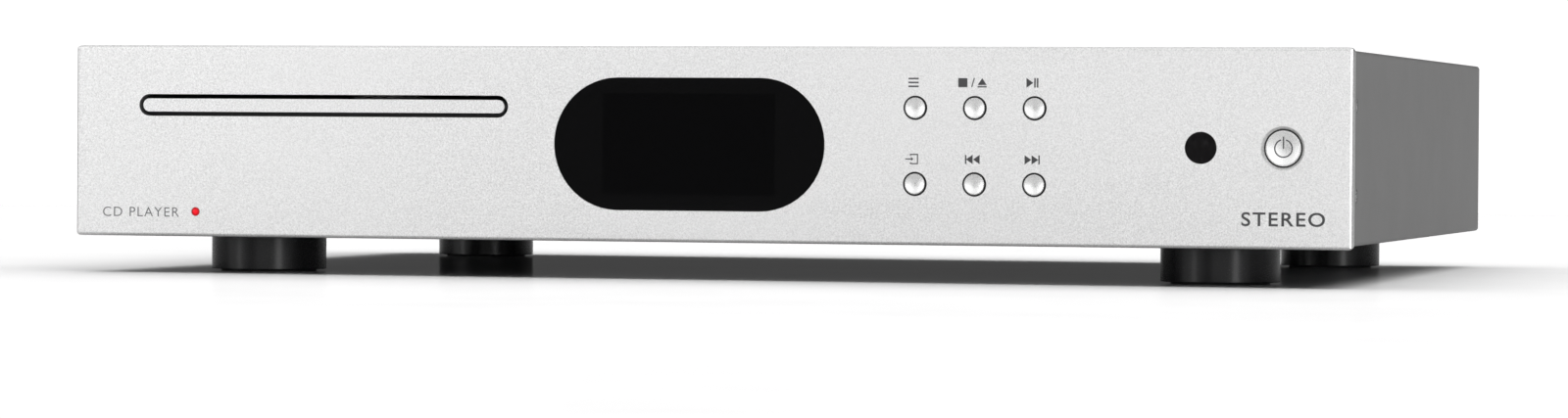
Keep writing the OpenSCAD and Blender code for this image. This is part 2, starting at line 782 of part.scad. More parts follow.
module switch_housing() {
    color(black) difference() {
        union() {
            block([switch_x - 6.5, switch_x + 6.5], [306, panel_y[1]], [socket_z - 9.6, socket_z + 9.6]);
            block([switch_x - 7.5, switch_x + 7.5], [panel_y[1], panel_y[1] + 1.5],
                [socket_z - 10.5, socket_z + 10.5]);
        }
        block([switch_x - 5.4, switch_x + 5.4], [316, case_depth], [socket_z - 9, socket_z + 9]);
        bar_x([switch_x - 6, switch_x + 6], rocker_y, socket_z, 1 + run_gap);
    }
}

// The rocker is stored with its lower end out, the off position
module switch_rocker() {
    color([0.12, 0.12, 0.13]) translate([0, front_y + rocker_y, socket_z]) rotate([rocker_tilt, 0, 0])
        union() {
            translate([switch_x - 5.2, -1.5, -8.1]) cube([10.4, 6, 16.2]);
            translate([switch_x - 5.2, -4, -4]) cube([10.4, 4, 8]);
            translate([switch_x - 5.9, 0, 0]) rotate([0, 90, 0]) cylinder(h = 11.8, r = 1);
        }
}

// One phono socket: body on the board, boss through the panel, collar and outer sleeve
module phono_socket(x) {
    difference() {
        union() {
            block([x - 6.5, x + 6.5], [306, panel_y[0]], [board_z[1], phono_z + 6.5]);
            bar_y(x, [panel_y[0] - 1, panel_y[1]], phono_z, phono_r + 1);
            bar_y(x, [panel_y[1], panel_y[1] + 1.5], phono_z, phono_r + 2);
            bar_y(x, [panel_y[1], case_depth + rear_proud], phono_z, phono_r);
        }
        bar_y(x, [panel_y[0] - 6, case_depth + rear_proud + cut], phono_z, 1.6);
    }
}

module line_outputs() { color(brass) for (x = phono_x) phono_socket(x); }
module coax_output() { color(brass) phono_socket(coax_x); }

module optical_output() {
    color(black) difference() {
        union() {
            block([optical_x - 6, optical_x + 6], [310, panel_y[1]], [phono_z - 6, phono_z + 6]);
            block([optical_x - 7.2, optical_x + 7.2], [panel_y[1], panel_y[1] + 1.5],
                [phono_z - 7.2, phono_z + 7.2]);
        }
        block([optical_x - 3.3, optical_x + 3.3], [316, case_depth], [phono_z - 3.3, phono_z + 3.3]);
    }
}

module optical_shutter() {
    color([0.15, 0.15, 0.16]) union() {
        block([optical_x - 3.15, optical_x + 3.15], [shutter_axis[0] - 0.4, shutter_axis[0] + 0.4],
            [phono_z - 3.1, shutter_axis[1]]);
        bar_x([optical_x - 3.15, optical_x + 3.15], shutter_axis[0], shutter_axis[1], 0.45);
    }
}

// Two 3.5 mm sockets, each with its hexagonal panel nut
module trigger_sockets() {
    color([0.14, 0.14, 0.15]) for (x = trigger_x) {
        difference() {
            union() {
                block([x - 5, x + 5], [312, panel_y[0]], [trigger_z - 5.5, trigger_z + 5.5]);
                bar_y(x, [panel_y[0] - 1, case_depth + 1], trigger_z, trigger_bore_r + 2);
            }
            bar_y(x, [314, case_depth + 1 + cut], trigger_z, trigger_bore_r);
        }
        difference() {
            translate([x, front_y + panel_y[1], trigger_z]) rotate([-90, 0, 0])
                cylinder(h = 1.8, r = 5.6, $fn = 6);
            bar_y(x, [panel_y[1] - cut, case_depth + 1], trigger_z, trigger_bore_r + 2.03);
        }
    }
}

// ---- Tray loader ----

module wall(side, y, z) {
    block(side < 0 ? [-wall_x[1], -wall_x[0]] : wall_x, y, z);
}

// Side walls with tray ledges and hold-down lips, two cross bars and the drive shelf with its posts
module loader_frame() {
    color(black) in_loader() difference() {
        union() {
            wall(-1, loader_y, wall_z);
            wall(1, [48, loader_y[1]], wall_z);
            wall(1, [loader_y[0], 48], [wall_z[0], 46]);
            wall(1, [loader_y[0], 20], wall_z);
            block([-wall_x[1], wall_x[1]], [loader_y[0], loader_y[0] + bar_t], [wall_z[0], ledge_z[1]]);
            block([-wall_x[1], wall_x[1]], [loader_y[1] - bar_t, loader_y[1]], wall_z);
            block([-wall_x[1], -ledge_x], [loader_y[0], loader_y[1]], ledge_z);
            block([ledge_x, wall_x[0]], [loader_y[0], loader_y[1]], ledge_z);
            for (y = lip_spans, side = [-1, 1])
                block(side < 0 ? [-wall_x[0], -lip_x] : [lip_x, wall_x[0]], y, lip_z);
            block(shelf_x, shelf_y, shelf_z);
            bar_z(drive_pos[0], drive_pos[1], [shelf_z[0], gear_z[0] - 0.1], 4);
            bar_z(drive_pos[0], drive_pos[1], [shelf_z[0], 58.5], post_r);
            bar_z(wheel_pos[0], wheel_pos[1], [shelf_z[0], pulley_z[0] - 0.1], 4);
            bar_z(wheel_pos[0], wheel_pos[1], [shelf_z[0], 54], post_r);
        }
        bar_x([-wall_x[1] - cut, wall_x[1] + cut], pivot_y, sub_z[0], pivot_r + run_gap);
        bar_z(motor_pos[0], motor_pos[1], [0, shelf_z[1] + cut], 3.05);
        difference() {
            bar_z(drive_pos[0], drive_pos[1], [ledge_z[0] - cut, tray_z[1]], pinion_r + 1.4);
            bar_z(drive_pos[0], drive_pos[1], [0, 60], post_r);
        }
    }
}

// Two channels that carry the loader on the base pan
module loader_stands() {
    color(steel) in_loader() for (side = [-1, 1]) mirror([side < 0 ? 1 : 0, 0, 0]) difference() {
        block(stand_x, stand_y, [pan_z[1], wall_z[0]]);
        block([stand_x[0] - cut, stand_x[1] - sheet_t], [0, case_depth],
            [pan_z[1] + sheet_t, wall_z[0] - sheet_t]);
    }
}

module disc_tray() {
    color([0.11, 0.11, 0.12]) in_loader() difference() {
        union() {
            block([-tray_w / 2, rack_line_x - dedendum], tray_y, tray_z);
            block([0, tray_w / 2], tray_y, [rack_z[1], tray_z[1]]);
            block([0, tray_w / 2], [tray_y[0], 24], tray_z);
            translate([0, front_y, rack_z[0]])
                linear_extrude(span(rack_z) + 0.1) polygon(rack_outline(-3, 64));
        }
        bar_z(0, disc_y, [well_z, tray_z[1] + cut], disc_well_r);
        bar_z(0, disc_y, [small_well_z, tray_z[1] + cut], small_well_r);
        bar_z(0, disc_y, [0, tray_z[1] + cut], tray_hole_r);
        block([-tray_hole_r, tray_hole_r], [disc_y, tray_y[1] + cut], [0, tray_z[1] + cut]);
    }
}

module tray_front() {
    color(silver) front_section(tray_front_y) stadium(tray_x, slot_z, tray_front_w, tray_front_h);
}

module clamp_bridge() {
    color(steel) in_loader() difference() {
        block([-wall_x[1], wall_x[1]], bridge_y, bridge_z);
        bar_z(0, disc_y, [0, bridge_z[1] + cut], puck_hole_r);
        for (side = [-1, 1])
            block([side * 34 - 10, side * 34 + 10], [disc_y - 6, disc_y + 6], [0, bridge_z[1] + cut]);
    }
}

// The puck hangs in the bridge by its upper flange and presses the disc on the turntable
module clamp_puck() {
    color([0.85, 0.85, 0.83]) in_loader() difference() {
        union() {
            bar_z(0, disc_y, puck_z, turntable_r - 0.5);
            bar_z(0, disc_y, [puck_z[0], bridge_z[1] + 0.1], puck_hole_r - 0.08);
            bar_z(0, disc_y, [bridge_z[1] + 0.1, bridge_z[1] + 1.6], puck_hole_r + 2);
        }
        bar_z(0, disc_y, [0, hub_top + 0.7], hub_r + 0.9);
    }
}

// ---- Sub-chassis ----

module sub_chassis() {
    color([0.16, 0.16, 0.17]) in_loader() difference() {
        union() {
            difference() {
                block([-sub_half_w, sub_half_w], sub_y, sub_z);
                block([-sled_window_x, sled_window_x], sled_window_y, [0, sub_z[1] + cut]);
                for (side = [-1, 1])
                    block([side * 34.5 - 6, side * 34.5 + 6], [60, 80], [0, sub_z[1] + cut]);
            }
            for (side = [-1, 1], y = [rod_y[0], rod_y[1] - 4])
                block([side * rod_x - 3, side * rod_x + 3], [y, y + 4], [rod_z - 2.5, sub_z[0]]);
            block([screw_x - 3, screw_x + 3], [88, 92], [screw_z - 3, sub_z[0]]);
            for (side = [-1, 1])
                mirror([side < 0 ? 1 : 0, 0, 0])
                    bar_x([44, wall_x[0] - 0.4], pivot_y, sub_z[0], pivot_boss_r);
            bar_x([-wall_x[1] + 0.2, wall_x[1] - 0.2], pivot_y, sub_z[0], pivot_r);
        }
        bar_z(0, disc_y, [0, sub_z[1] + cut], 4);
        for (side = [-1, 1])
            bar_y(side * rod_x, rod_y, rod_z, rod_r);
        bar_y(screw_x, [87, 93], screw_z, rod_r + run_gap);
    }
}

module spindle_motor() {
    color(steel) in_loader() difference() {
        union() {
            bar_z(0, disc_y, [41, sub_z[0]], spindle_motor_r);
            bar_z(0, disc_y, [sub_z[0], sub_z[1] + 3.5], 4);
        }
        bar_z(0, disc_y, [43, turntable_z[0]], motor_shaft_r + run_gap);
    }
}

module turntable() {
    color([0.2, 0.2, 0.21]) in_loader() union() {
        bar_z(0, disc_y, turntable_z, turntable_r);
        bar_z(0, disc_y, [turntable_z[1], hub_top - 0.8], hub_r);
        translate([0, front_y + disc_y, hub_top - 0.8]) cylinder(h = 0.8, r1 = hub_r, r2 = hub_r - 1.2);
        bar_z(0, disc_y, [43.5, turntable_z[0]], motor_shaft_r);
    }
}

module guide_rods() {
    color(steel) in_loader() for (side = [-1, 1])
        bar_y(side * rod_x, rod_y, rod_z, rod_r);
}

module laser_sled() {
    color([0.13, 0.13, 0.14]) in_loader() difference() {
        union() {
            block([-16, 16], sled_y, [rod_z - 2.5, 55]);
            for (side = [-1, 1]) {
                bar_y(side * rod_x, [sled_y[0] + 3, sled_y[1] - 3], rod_z, rod_r + 1.2);
                block(side < 0 ? [-rod_x, -14] : [14, rod_x], [sled_y[0] + 3, sled_y[1] - 3],
                    [rod_z - 1.5, rod_z + 1.5]);
            }
            block([rod_x, screw_x + 3], sled_arm_y, [screw_z - 2.4, screw_z + 2.4]);
        }
        for (side = [-1, 1])
            bar_y(side * rod_x, sled_y, rod_z, rod_r + run_gap);
        bar_y(screw_x, sled_y, screw_z, rod_r + run_gap);
        bar_z(0, lens_y, [52, 56], 4.5);
    }
}

module laser_lens() {
    color([0.3, 0.35, 0.6]) in_loader() union() {
        bar_z(0, lens_y, [52, 56.4], 4);
        intersection() {
            bar_z(0, lens_y, [56, 58], 2.4);
            translate([0, front_y + lens_y, 53.9]) sphere(r = 3.4);
        }
    }
}

module lead_screw() {
    color(steel) in_loader() bar_y(screw_x, [88.5, 165], screw_z, rod_r);
}

module sled_motor() {
    color([0.6, 0.6, 0.6]) in_loader() difference() {
        block([screw_x - 6, screw_x + 6], sled_motor_y, [screw_z - 4, sub_z[0]]);
        bar_y(screw_x, [sled_motor_y[0] - cut, 166], screw_z, rod_r + run_gap);
    }
}

// ---- Loading drive ----

module loading_motor() {
    color(steel) in_loader() difference() {
        union() {
            bar_z(motor_pos[0], motor_pos[1], loading_motor_z, loading_motor_r);
            bar_z(motor_pos[0], motor_pos[1], [loading_motor_z[1], 40], 3);
        }
        bar_z(motor_pos[0], motor_pos[1], [20.5, 41], motor_shaft_r + run_gap);
    }
}

// A flanged pulley profile turned round its own axis
module pulley(pos, groove_r) {
    bar_z(pos[0], pos[1], pulley_z, groove_r);
    bar_z(pos[0], pos[1], [pulley_z[0], belt_z[0] - 0.2], groove_r + groove_lip);
    bar_z(pos[0], pos[1], [belt_z[1] + 0.2, pulley_z[1]], groove_r + groove_lip);
}

module motor_pulley() {
    color(brass) in_loader() union() {
        pulley(motor_pos, motor_groove_r);
        bar_z(motor_pos[0], motor_pos[1], [21, pulley_z[0]], motor_shaft_r);
    }
}

module belt_loop(offset_r) {
    hull() {
        translate(wheel_pos) circle(r = wheel_groove_r + offset_r, $fn = 64);
        translate(motor_pos) circle(r = motor_groove_r + offset_r, $fn = 64);
    }
}

module loading_belt() {
    color([0.03, 0.03, 0.03]) in_loader() translate([0, front_y, belt_z[0]]) linear_extrude(span(belt_z))
        difference() {
            belt_loop(belt_t + run_gap);
            belt_loop(run_gap);
        }
}

module pulley_wheel() {
    color([0.9, 0.9, 0.86]) in_loader() difference() {
        union() {
            pulley(wheel_pos, wheel_groove_r);
            translate([wheel_pos[0], front_y + wheel_pos[1], 0])
                gear(wheel_teeth, [pulley_z[1], gear_z[1] + 0.3], mesh_angle + 180 + 180 / wheel_teeth);
        }
        bar_z(wheel_pos[0], wheel_pos[1], [0, wall_z[1]], post_r + run_gap);
    }
}

module drive_gear() {
    color([0.9, 0.9, 0.86]) in_loader() difference() {
        translate([drive_pos[0], front_y + drive_pos[1], 0]) union() {
            gear(drive_teeth, gear_z, mesh_angle);
            gear(pinion_teeth, [gear_z[0] + 1, rack_z[1] - 0.1], 180 + 180 / pinion_teeth);
        }
        bar_z(drive_pos[0], drive_pos[1], [0, wall_z[1]], post_r + run_gap);
    }
}

front_fascia();
front_subpanel();
base_pan();
rear_panel();
top_cover();
case_screws();
foot_front_left();
foot_front_right();
foot_rear_left();
foot_rear_right();
foot_pads();
foot_screws();
display_window();
display_module();
ir_window();
power_lamp();
button_menu();
button_stop_eject();
button_play_pause();
button_source();
button_previous();
button_next();
button_power();
button_guide();
front_board();
front_board_parts();
main_board();
supply_board();
board_parts();
board_fixings();
mains_transformer();
transformer_fixings();
mains_inlet();
mains_pins();
switch_housing();
switch_rocker();
line_outputs();
coax_output();
optical_output();
optical_shutter();
trigger_sockets();
loader_frame();
loader_stands();
disc_tray();
tray_front();
clamp_bridge();
clamp_puck();
sub_chassis();
spindle_motor();
turntable();
guide_rods();
laser_sled();
laser_lens();
lead_screw();
sled_motor();
loading_motor();
motor_pulley();
loading_belt();
pulley_wheel();
drive_gear();
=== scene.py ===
"""A slim silver hi-fi CD player in a plain pale studio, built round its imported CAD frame."""

import json
import math

import bmesh
import bpy
from mathutils import Matrix, Vector


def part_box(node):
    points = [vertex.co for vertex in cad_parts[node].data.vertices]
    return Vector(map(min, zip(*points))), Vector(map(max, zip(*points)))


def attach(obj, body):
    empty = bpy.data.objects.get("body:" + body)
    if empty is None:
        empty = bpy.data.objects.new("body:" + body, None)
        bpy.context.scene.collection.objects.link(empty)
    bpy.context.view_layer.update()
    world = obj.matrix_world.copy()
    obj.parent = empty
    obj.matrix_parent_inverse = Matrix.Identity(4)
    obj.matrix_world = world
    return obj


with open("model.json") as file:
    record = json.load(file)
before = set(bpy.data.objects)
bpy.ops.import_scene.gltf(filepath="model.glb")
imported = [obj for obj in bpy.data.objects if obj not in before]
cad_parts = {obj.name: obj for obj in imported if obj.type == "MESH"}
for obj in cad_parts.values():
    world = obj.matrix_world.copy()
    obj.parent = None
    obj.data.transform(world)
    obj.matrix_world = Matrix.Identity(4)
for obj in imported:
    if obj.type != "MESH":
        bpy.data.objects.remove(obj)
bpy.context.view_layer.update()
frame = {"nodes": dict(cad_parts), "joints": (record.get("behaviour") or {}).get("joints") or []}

# ---------------------------------------------------------------- places
MM = 0.001
FACE_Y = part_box("front_fascia")[0].y  # front face of the fascia
FASCIA_LOW, FASCIA_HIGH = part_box("front_fascia")
MID_Z = (FASCIA_LOW.z + FASCIA_HIGH.z) / 2
INK_PROUD = 0.03  # height of the ink above the face, in millimetres
INK_SUNK = 0.02  # how far it reaches below the face, in millimetres


def centre(node):
    """Middle of a CAD node's box at rest."""
    low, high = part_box(node)
    return (low + high) / 2


# ---------------------------------------------------------------- shader helpers
def add(tree, kind, inputs=None, **settings):
    """Adds one node, sets its properties, and sets or links its inputs."""
    node = tree.nodes.new(kind)
    for name, value in settings.items():
        setattr(node, name, value)
    for name, value in (inputs or {}).items():
        socket = node.inputs[name]
        if isinstance(value, bpy.types.NodeSocket):
            tree.links.new(value, socket)
        else:
            socket.default_value = value
    return node


def new_material(name):
    """An empty Principled material and its shader node."""
    material = bpy.data.materials.new(name)
    material.use_nodes = True
    return material, material.node_tree, material.node_tree.nodes["Principled BSDF"]


def feed(tree, shader, **inputs):
    """Sets or links inputs of the Principled shader, by names with underscores for spaces."""
    for name, value in inputs.items():
        socket = shader.inputs[name.replace("_", " ")]
        if isinstance(value, bpy.types.NodeSocket):
            tree.links.new(value, socket)
        else:
            socket.default_value = value


def rgba(colour, gain=1.0):
    return (*[min(1.0, c * gain) for c in colour[:3]], 1.0)


def mapped(tree, stretch=(1, 1, 1), turn=(0, 0, 0)):
    """Object coordinates, stretched and turned."""
    coords = add(tree, "ShaderNodeTexCoord").outputs["Object"]
    return add(
        tree, "ShaderNodeMapping", {"Vector": coords, "Scale": stretch, "Rotation": turn}
    ).outputs["Vector"]


def noise(tree, vector, size_mm, detail=2.0, roughness=0.5):
    """Noise whose blobs are about size_mm across."""
    return add(
        tree,
        "ShaderNodeTexNoise",
        {"Vector": vector, "Scale": 1000.0 / size_mm, "Detail": detail, "Roughness": roughness},
    ).outputs["Fac"]


def spread(tree, value, low, high, start=0.0, end=1.0):
    """Maps value from start..end to low..high."""
    return add(
        tree,
        "ShaderNodeMapRange",
        {"Value": value, "From Min": start, "From Max": end, "To Min": low, "To Max": high},
    ).outputs["Result"]


def blend(tree, factor, first, second, mode="MIX"):
    """Mixes two colours."""
    node = add(tree, "ShaderNodeMix", data_type="RGBA", blend_type=mode)
    for socket, value in ((node.inputs[0], factor), (node.inputs[6], first), (node.inputs[7], second)):
        if isinstance(value, bpy.types.NodeSocket):
            tree.links.new(value, socket)
        else:
            socket.default_value = value
    return node.outputs[2]


def maths(tree, operation, first, second=0.0):
    node = add(tree, "ShaderNodeMath", operation=operation)
    for socket, value in zip(node.inputs, (first, second)):
        if isinstance(value, bpy.types.NodeSocket):
            tree.links.new(value, socket)
        else:
            socket.default_value = value
    return node.outputs[0]


def blend_value(tree, first, second, share):
    """Mixes two values, with the given share of the second."""
    return maths(
        tree,
        "ADD",
        maths(tree, "MULTIPLY", first, 1 - share),
        maths(tree, "MULTIPLY", second, share),
    )


def bumped(tree, height, depth_mm):
    """A bump of the given depth."""
    inputs = {"Height": height, "Distance": depth_mm * MM}
    return add(tree, "ShaderNodeBump", inputs).outputs["Normal"]


def edge_wear(tree, amount):
    """1 on sharp outer edges, 0 elsewhere."""
    pointiness = add(tree, "ShaderNodeNewGeometry").outputs["Pointiness"]
    return maths(tree, "MULTIPLY", spread(tree, pointiness, 0.0, 1.0, 0.53, 0.62), amount)


def surface(
    name,
    colour,
    rough,
    metal=0.0,
    specular=0.5,
    grain_mm=0.4,
    grain_depth=0.006,
    mottle=0.05,
    rough_spread=0.06,
    wear=0.25,
    wear_gain=1.6,
    coat=0.0,
    stretch=(1, 1, 1),
):
    """
    A procedural finish: fine grain in bump and tone, broad drift in tone and gloss, and paler edges.
    """
    material, tree, shader = new_material(name)
    vector = mapped(tree, stretch)
    fine = noise(tree, vector, grain_mm, 3.0, 0.6)
    broad = noise(tree, vector, grain_mm * 60, 2.0)
    tone = blend(tree, fine, rgba(colour, 1 - mottle), rgba(colour, 1 + mottle))
    tone = blend(tree, spread(tree, broad, 0.0, 0.35, 0.3, 0.7), tone, rgba(colour, 1 + mottle / 2))
    tone = blend(tree, edge_wear(tree, wear), tone, rgba(colour, wear_gain))
    gloss = maths(
        tree,
        "ADD",
        spread(tree, fine, -rough_spread, rough_spread, 0.3, 0.7),
        spread(tree, broad, rough - rough_spread / 2, rough + rough_spread / 2, 0.3, 0.7),
    )
    feed(
        tree,
        shader,
        Base_Color=tone,
        Roughness=gloss,
        Metallic=metal,
        Specular_IOR_Level=specular,
        Coat_Weight=coat,
        Normal=bumped(tree, fine, grain_depth),
    )
    return material


# ---------------------------------------------------------------- materials
def blasted_aluminium(name, colour, rough, sparkle, depth):
    """
    Bead-blasted, clear-anodised aluminium: pits of two sizes, depth millimetres deep, glint and
    dull the surface. sparkle is the share by which they vary its tone.
    """
    material, tree, shader = new_material(name)
    vector = mapped(tree)
    coarse = noise(tree, vector, 0.65, 2.0, 0.6)
    fine = noise(tree, vector, 0.28, 2.0, 0.7)
    pits = blend_value(tree, coarse, fine, 0.6)
    drift = noise(tree, vector, 90, 1.0)
    glint = spread(tree, pits, 0.0, 1.0, 0.36, 0.64)
    tone = blend(tree, glint, rgba(colour, 1 - sparkle), rgba(colour, 1 + sparkle))
    tone = blend(tree, spread(tree, drift, 0.0, 0.3, 0.35, 0.65), tone, rgba(colour, 1.03))
    tone = blend(tree, edge_wear(tree, 0.2), tone, rgba(colour, 1.12))
    feed(
        tree,
        shader,
        Base_Color=tone,
        Metallic=1.0,
        Roughness=spread(tree, pits, rough + 0.06, rough - 0.06, 0.35, 0.65),
        Normal=bumped(tree, pits, depth),
    )
    return material


def smoked_window(name):
    """Polished black acrylic with light dust, and the faintly darker screen behind it."""
    material, tree, shader = new_material(name)
    vector = mapped(tree)
    low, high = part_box("display_module")
    axes = add(tree, "ShaderNodeSeparateXYZ", {"Vector": vector}).outputs
    half = (high - low) / 2
    middle = (high + low) / 2

    def within(i):
        """1 where the surface lies in front of the screen's span along axis i."""
        off = maths(tree, "ABSOLUTE", maths(tree, "SUBTRACT", axes[i], middle[i]))
        return maths(tree, "LESS_THAN", off, half[i])

    screen = maths(tree, "MULTIPLY", within(0), within(2))
    dust = noise(tree, vector, 0.5, 4.0, 0.8)
    specks = spread(tree, dust, 0.0, 1.0, 0.72, 0.8)
    tone = blend(tree, screen, (0.002, 0.002, 0.0022, 1), (0.0008, 0.0008, 0.001, 1))
    tone = blend(tree, maths(tree, "MULTIPLY", specks, 0.15), tone, (0.05, 0.05, 0.05, 1))
    waves = noise(tree, vector, 30, 1.0)
    feed(
        tree,
        shader,
        Base_Color=tone,
        Roughness=spread(tree, dust, 0.015, 0.05, 0.3, 0.8),
        Specular_IOR_Level=0.4,
        Normal=bumped(tree, waves, 0.01),
    )
    return material


def sheet_steel(name, colour, rough, spangle=0.12):
    """Zinc-plated sheet with soft crystal spangles and faint rolling lines."""
    material, tree, shader = new_material(name)
    vector = mapped(tree)
    crystals = add(
        tree, "ShaderNodeTexVoronoi", {"Vector": vector, "Scale": 160.0, "Randomness": 1.0}
    ).outputs["Color"]
    level = add(tree, "ShaderNodeRGBToBW", {"Color": crystals}).outputs["Val"]
    lines = noise(tree, mapped(tree, (1, 0.02, 1)), 0.6, 3.0)
    tone = blend(tree, level, rgba(colour, 1 - spangle), rgba(colour, 1 + spangle / 2))
    tone = blend(tree, edge_wear(tree, 0.4), tone, rgba(colour, 1.3))
    feed(
        tree,
        shader,
        Base_Color=tone,
        Metallic=0.9,
        Roughness=spread(tree, level, rough - 0.05, rough + 0.08),
        Normal=bumped(tree, lines, 0.004),
    )
    return material


def turned_metal(name, colour, rough, axis_stretch=(1, 0.04, 1)):
    """Machined metal with fine tool lines."""
    return surface(
        name, colour, rough, metal=1.0, grain_mm=0.25, grain_depth=0.003, mottle=0.06,
        rough_spread=0.08, wear=0.3, wear_gain=1.2, stretch=axis_stretch,
    )


def circuit_board(name, colour, trace_gain=1.9):
    """Solder mask over a grid of tracks and pads."""
    material, tree, shader = new_material(name)
    vector = mapped(tree)
    tracks = add(
        tree,
        "ShaderNodeTexBrick",
        {
            "Vector": vector,
            "Color1": (0, 0, 0, 1),
            "Color2": (0.25, 0.25, 0.25, 1),
            "Mortar": (1, 1, 1, 1),
            "Scale": 1.0,
            "Mortar Size": 0.00035,
            "Brick Width": 0.018,
            "Row Height": 0.0026,
        },
        offset=0.35,
    ).outputs["Color"]
    cells = add(tree, "ShaderNodeTexVoronoi", {"Vector": vector, "Scale": 190.0, "Randomness": 0.6})
    pads = spread(tree, cells.outputs["Distance"], 1.0, 0.0, 0.10, 0.14)
    level = add(tree, "ShaderNodeRGBToBW", {"Color": tracks}).outputs["Val"]
    tone = blend(tree, level, rgba(colour), rgba(colour, trace_gain))
    tone = blend(tree, pads, tone, (0.62, 0.6, 0.55, 1))
    height = maths(tree, "ADD", maths(tree, "MULTIPLY", level, 0.5), pads)
    feed(
        tree,
        shader,
        Base_Color=tone,
        Metallic=maths(tree, "MULTIPLY", pads, 0.9),
        Roughness=spread(tree, noise(tree, vector, 4), 0.28, 0.42),
        Normal=bumped(tree, height, 0.03),
    )
    return material


def wound_tape(name, colour):
    """Varnished tape wound round a ring core: overlapping turns that run out from its middle."""
    material, tree, shader = new_material(name)
    core = centre("mains_transformer")
    coords = add(tree, "ShaderNodeTexCoord").outputs["Object"]
    axes = add(tree, "ShaderNodeSeparateXYZ", {"Vector": coords}).outputs
    from_core = [maths(tree, "SUBTRACT", axes[i], core[i]) for i in (0, 1)]
    angle = maths(tree, "ARCTAN2", from_core[1], from_core[0])
    turns = maths(tree, "FRACT", maths(tree, "MULTIPLY", angle, 60 / math.tau))
    streaks = noise(tree, mapped(tree), 0.8, 3.0)
    tone = blend(tree, turns, rgba(colour, 0.7), rgba(colour, 1.15))
    tone = blend(tree, streaks, tone, rgba(colour, 0.9))
    feed(
        tree,
        shader,
        Base_Color=tone,
        Roughness=spread(tree, streaks, 0.25, 0.45),
        Coat_Weight=0.3,
        Normal=bumped(tree, turns, 0.15),
    )
    return material


def clear_red(name):
    """The lamp's lens: saturated red that glows a little, brighter towards its middle."""
    material, tree, shader = new_material(name)
    vector = mapped(tree)
    lamp = centre("power_lamp")
    axes = add(tree, "ShaderNodeSeparateXYZ", {"Vector": vector}).outputs
    across, up = [
        maths(tree, "POWER", maths(tree, "SUBTRACT", axes[i], lamp[i]), 2.0) for i in (0, 2)
    ]
    off_axis = maths(tree, "SQRT", maths(tree, "ADD", across, up))
    middle = spread(tree, off_axis, 1.0, 0.0, 0.2 * MM, 1.5 * MM)
    haze = noise(tree, vector, 0.3)
    feed(
        tree,
        shader,
        Base_Color=blend(tree, middle, (0.18, 0.001, 0.004, 1), (0.6, 0.002, 0.01, 1)),
        Emission_Color=(1.0, 0.004, 0.015, 1),
        Emission_Strength=spread(tree, middle, 0.05, 0.5),
        Specular_IOR_Level=0.25,
        Roughness=spread(tree, haze, 0.12, 0.22),
        Normal=bumped(tree, haze, 0.004),
    )
    return material


def gilt_socket(name, colour):
    """Gold plate outside the rear panel and black moulded plastic inside it."""
    material, tree, shader = new_material(name)
    vector = mapped(tree)
    depth = add(tree, "ShaderNodeSeparateXYZ", {"Vector": vector}).outputs[1]
    outside = maths(tree, "GREATER_THAN", depth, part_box("rear_panel")[1].y)
    grain = noise(tree, vector, 0.25, 3.0, 0.6)
    tone = blend(tree, grain, rgba(colour, 0.92), rgba(colour, 1.08))
    tone = blend(tree, edge_wear(tree, 0.3), tone, rgba(colour, 1.2))
    feed(
        tree,
        shader,
        Base_Color=blend(tree, outside, (0.02, 0.02, 0.022, 1), tone),
        Metallic=outside,
        Roughness=spread(tree, maths(tree, "MULTIPLY", grain, outside), 0.4, 0.1),
        Normal=bumped(tree, grain, 0.004),
    )
    return material


FASCIA = blasted_aluminium("fascia_aluminium", (0.78, 0.78, 0.78), 0.4, 0.36, 0.055)
BUTTON = blasted_aluminium("button_aluminium", (0.85, 0.85, 0.85), 0.27, 0.02, 0.0008)
COVER = surface(
    "cover_paint", (0.148, 0.147, 0.147), 0.5, specular=0.2, grain_mm=0.35, grain_depth=0.004,
    mottle=0.012, rough_spread=0.03, wear=0.1,
)
SHEET = sheet_steel("zinc_sheet", (0.62, 0.63, 0.64), 0.34)
REAR = surface(
    "rear_panel_paint", (0.2, 0.205, 0.21), 0.45, grain_mm=0.5, grain_depth=0.008, mottle=0.04
)
SCREW = turned_metal("bright_zinc", (0.78, 0.78, 0.79), 0.24)
FOOT = surface(
    "foot_plastic", (0.011, 0.011, 0.012), 0.24, specular=0.26, grain_mm=0.3, grain_depth=0.005,
    mottle=0.2, wear=0.1,
)
PAD = surface(
    "pad_rubber", (0.01, 0.01, 0.01), 0.75, grain_mm=0.6, grain_depth=0.03, mottle=0.25, wear=0.0
)
WINDOW = smoked_window("smoked_acrylic")
MODULE = surface("module_black", (0.02, 0.02, 0.023), 0.4)
INFRARED = surface(
    "infrared_acrylic", (0.004, 0.0035, 0.0038), 0.06, grain_mm=2.0, grain_depth=0.003, mottle=0.3
)
LAMP = clear_red("lamp_red")
GUIDE = surface("guide_plastic", (0.62, 0.62, 0.58), 0.5)
# Near-black sleeve plastic: painted shade for the gaps round the button caps
SHADE_LINER = surface("button_gap_shade", (0.008, 0.008, 0.008), 0.6, specular=0.2)
BOARD = circuit_board("green_board", (0.02, 0.14, 0.06))
BOARD_TAN = circuit_board("tan_board", (0.34, 0.24, 0.08), 0.6)
PARTS = surface("component_black", (0.025, 0.025, 0.028), 0.45, grain_mm=0.3, grain_depth=0.01)
BRASS = turned_metal("turned_brass", (0.78, 0.56, 0.22), 0.25)
GOLD = gilt_socket("gold_plate", (0.86, 0.66, 0.3))
TAPE = wound_tape("wound_tape", (0.62, 0.36, 0.06))
SOCKET = surface(
    "socket_plastic", (0.018, 0.018, 0.02), 0.42, grain_mm=0.35, grain_depth=0.01, mottle=0.15
)
ROCKER = surface(
    "rocker_plastic", (0.012, 0.012, 0.013), 0.22, grain_mm=0.5, grain_depth=0.003, mottle=0.1
)
LOADER = surface(
    "loader_plastic", (0.02, 0.02, 0.022), 0.5, grain_mm=0.45, grain_depth=0.015, mottle=0.15
)
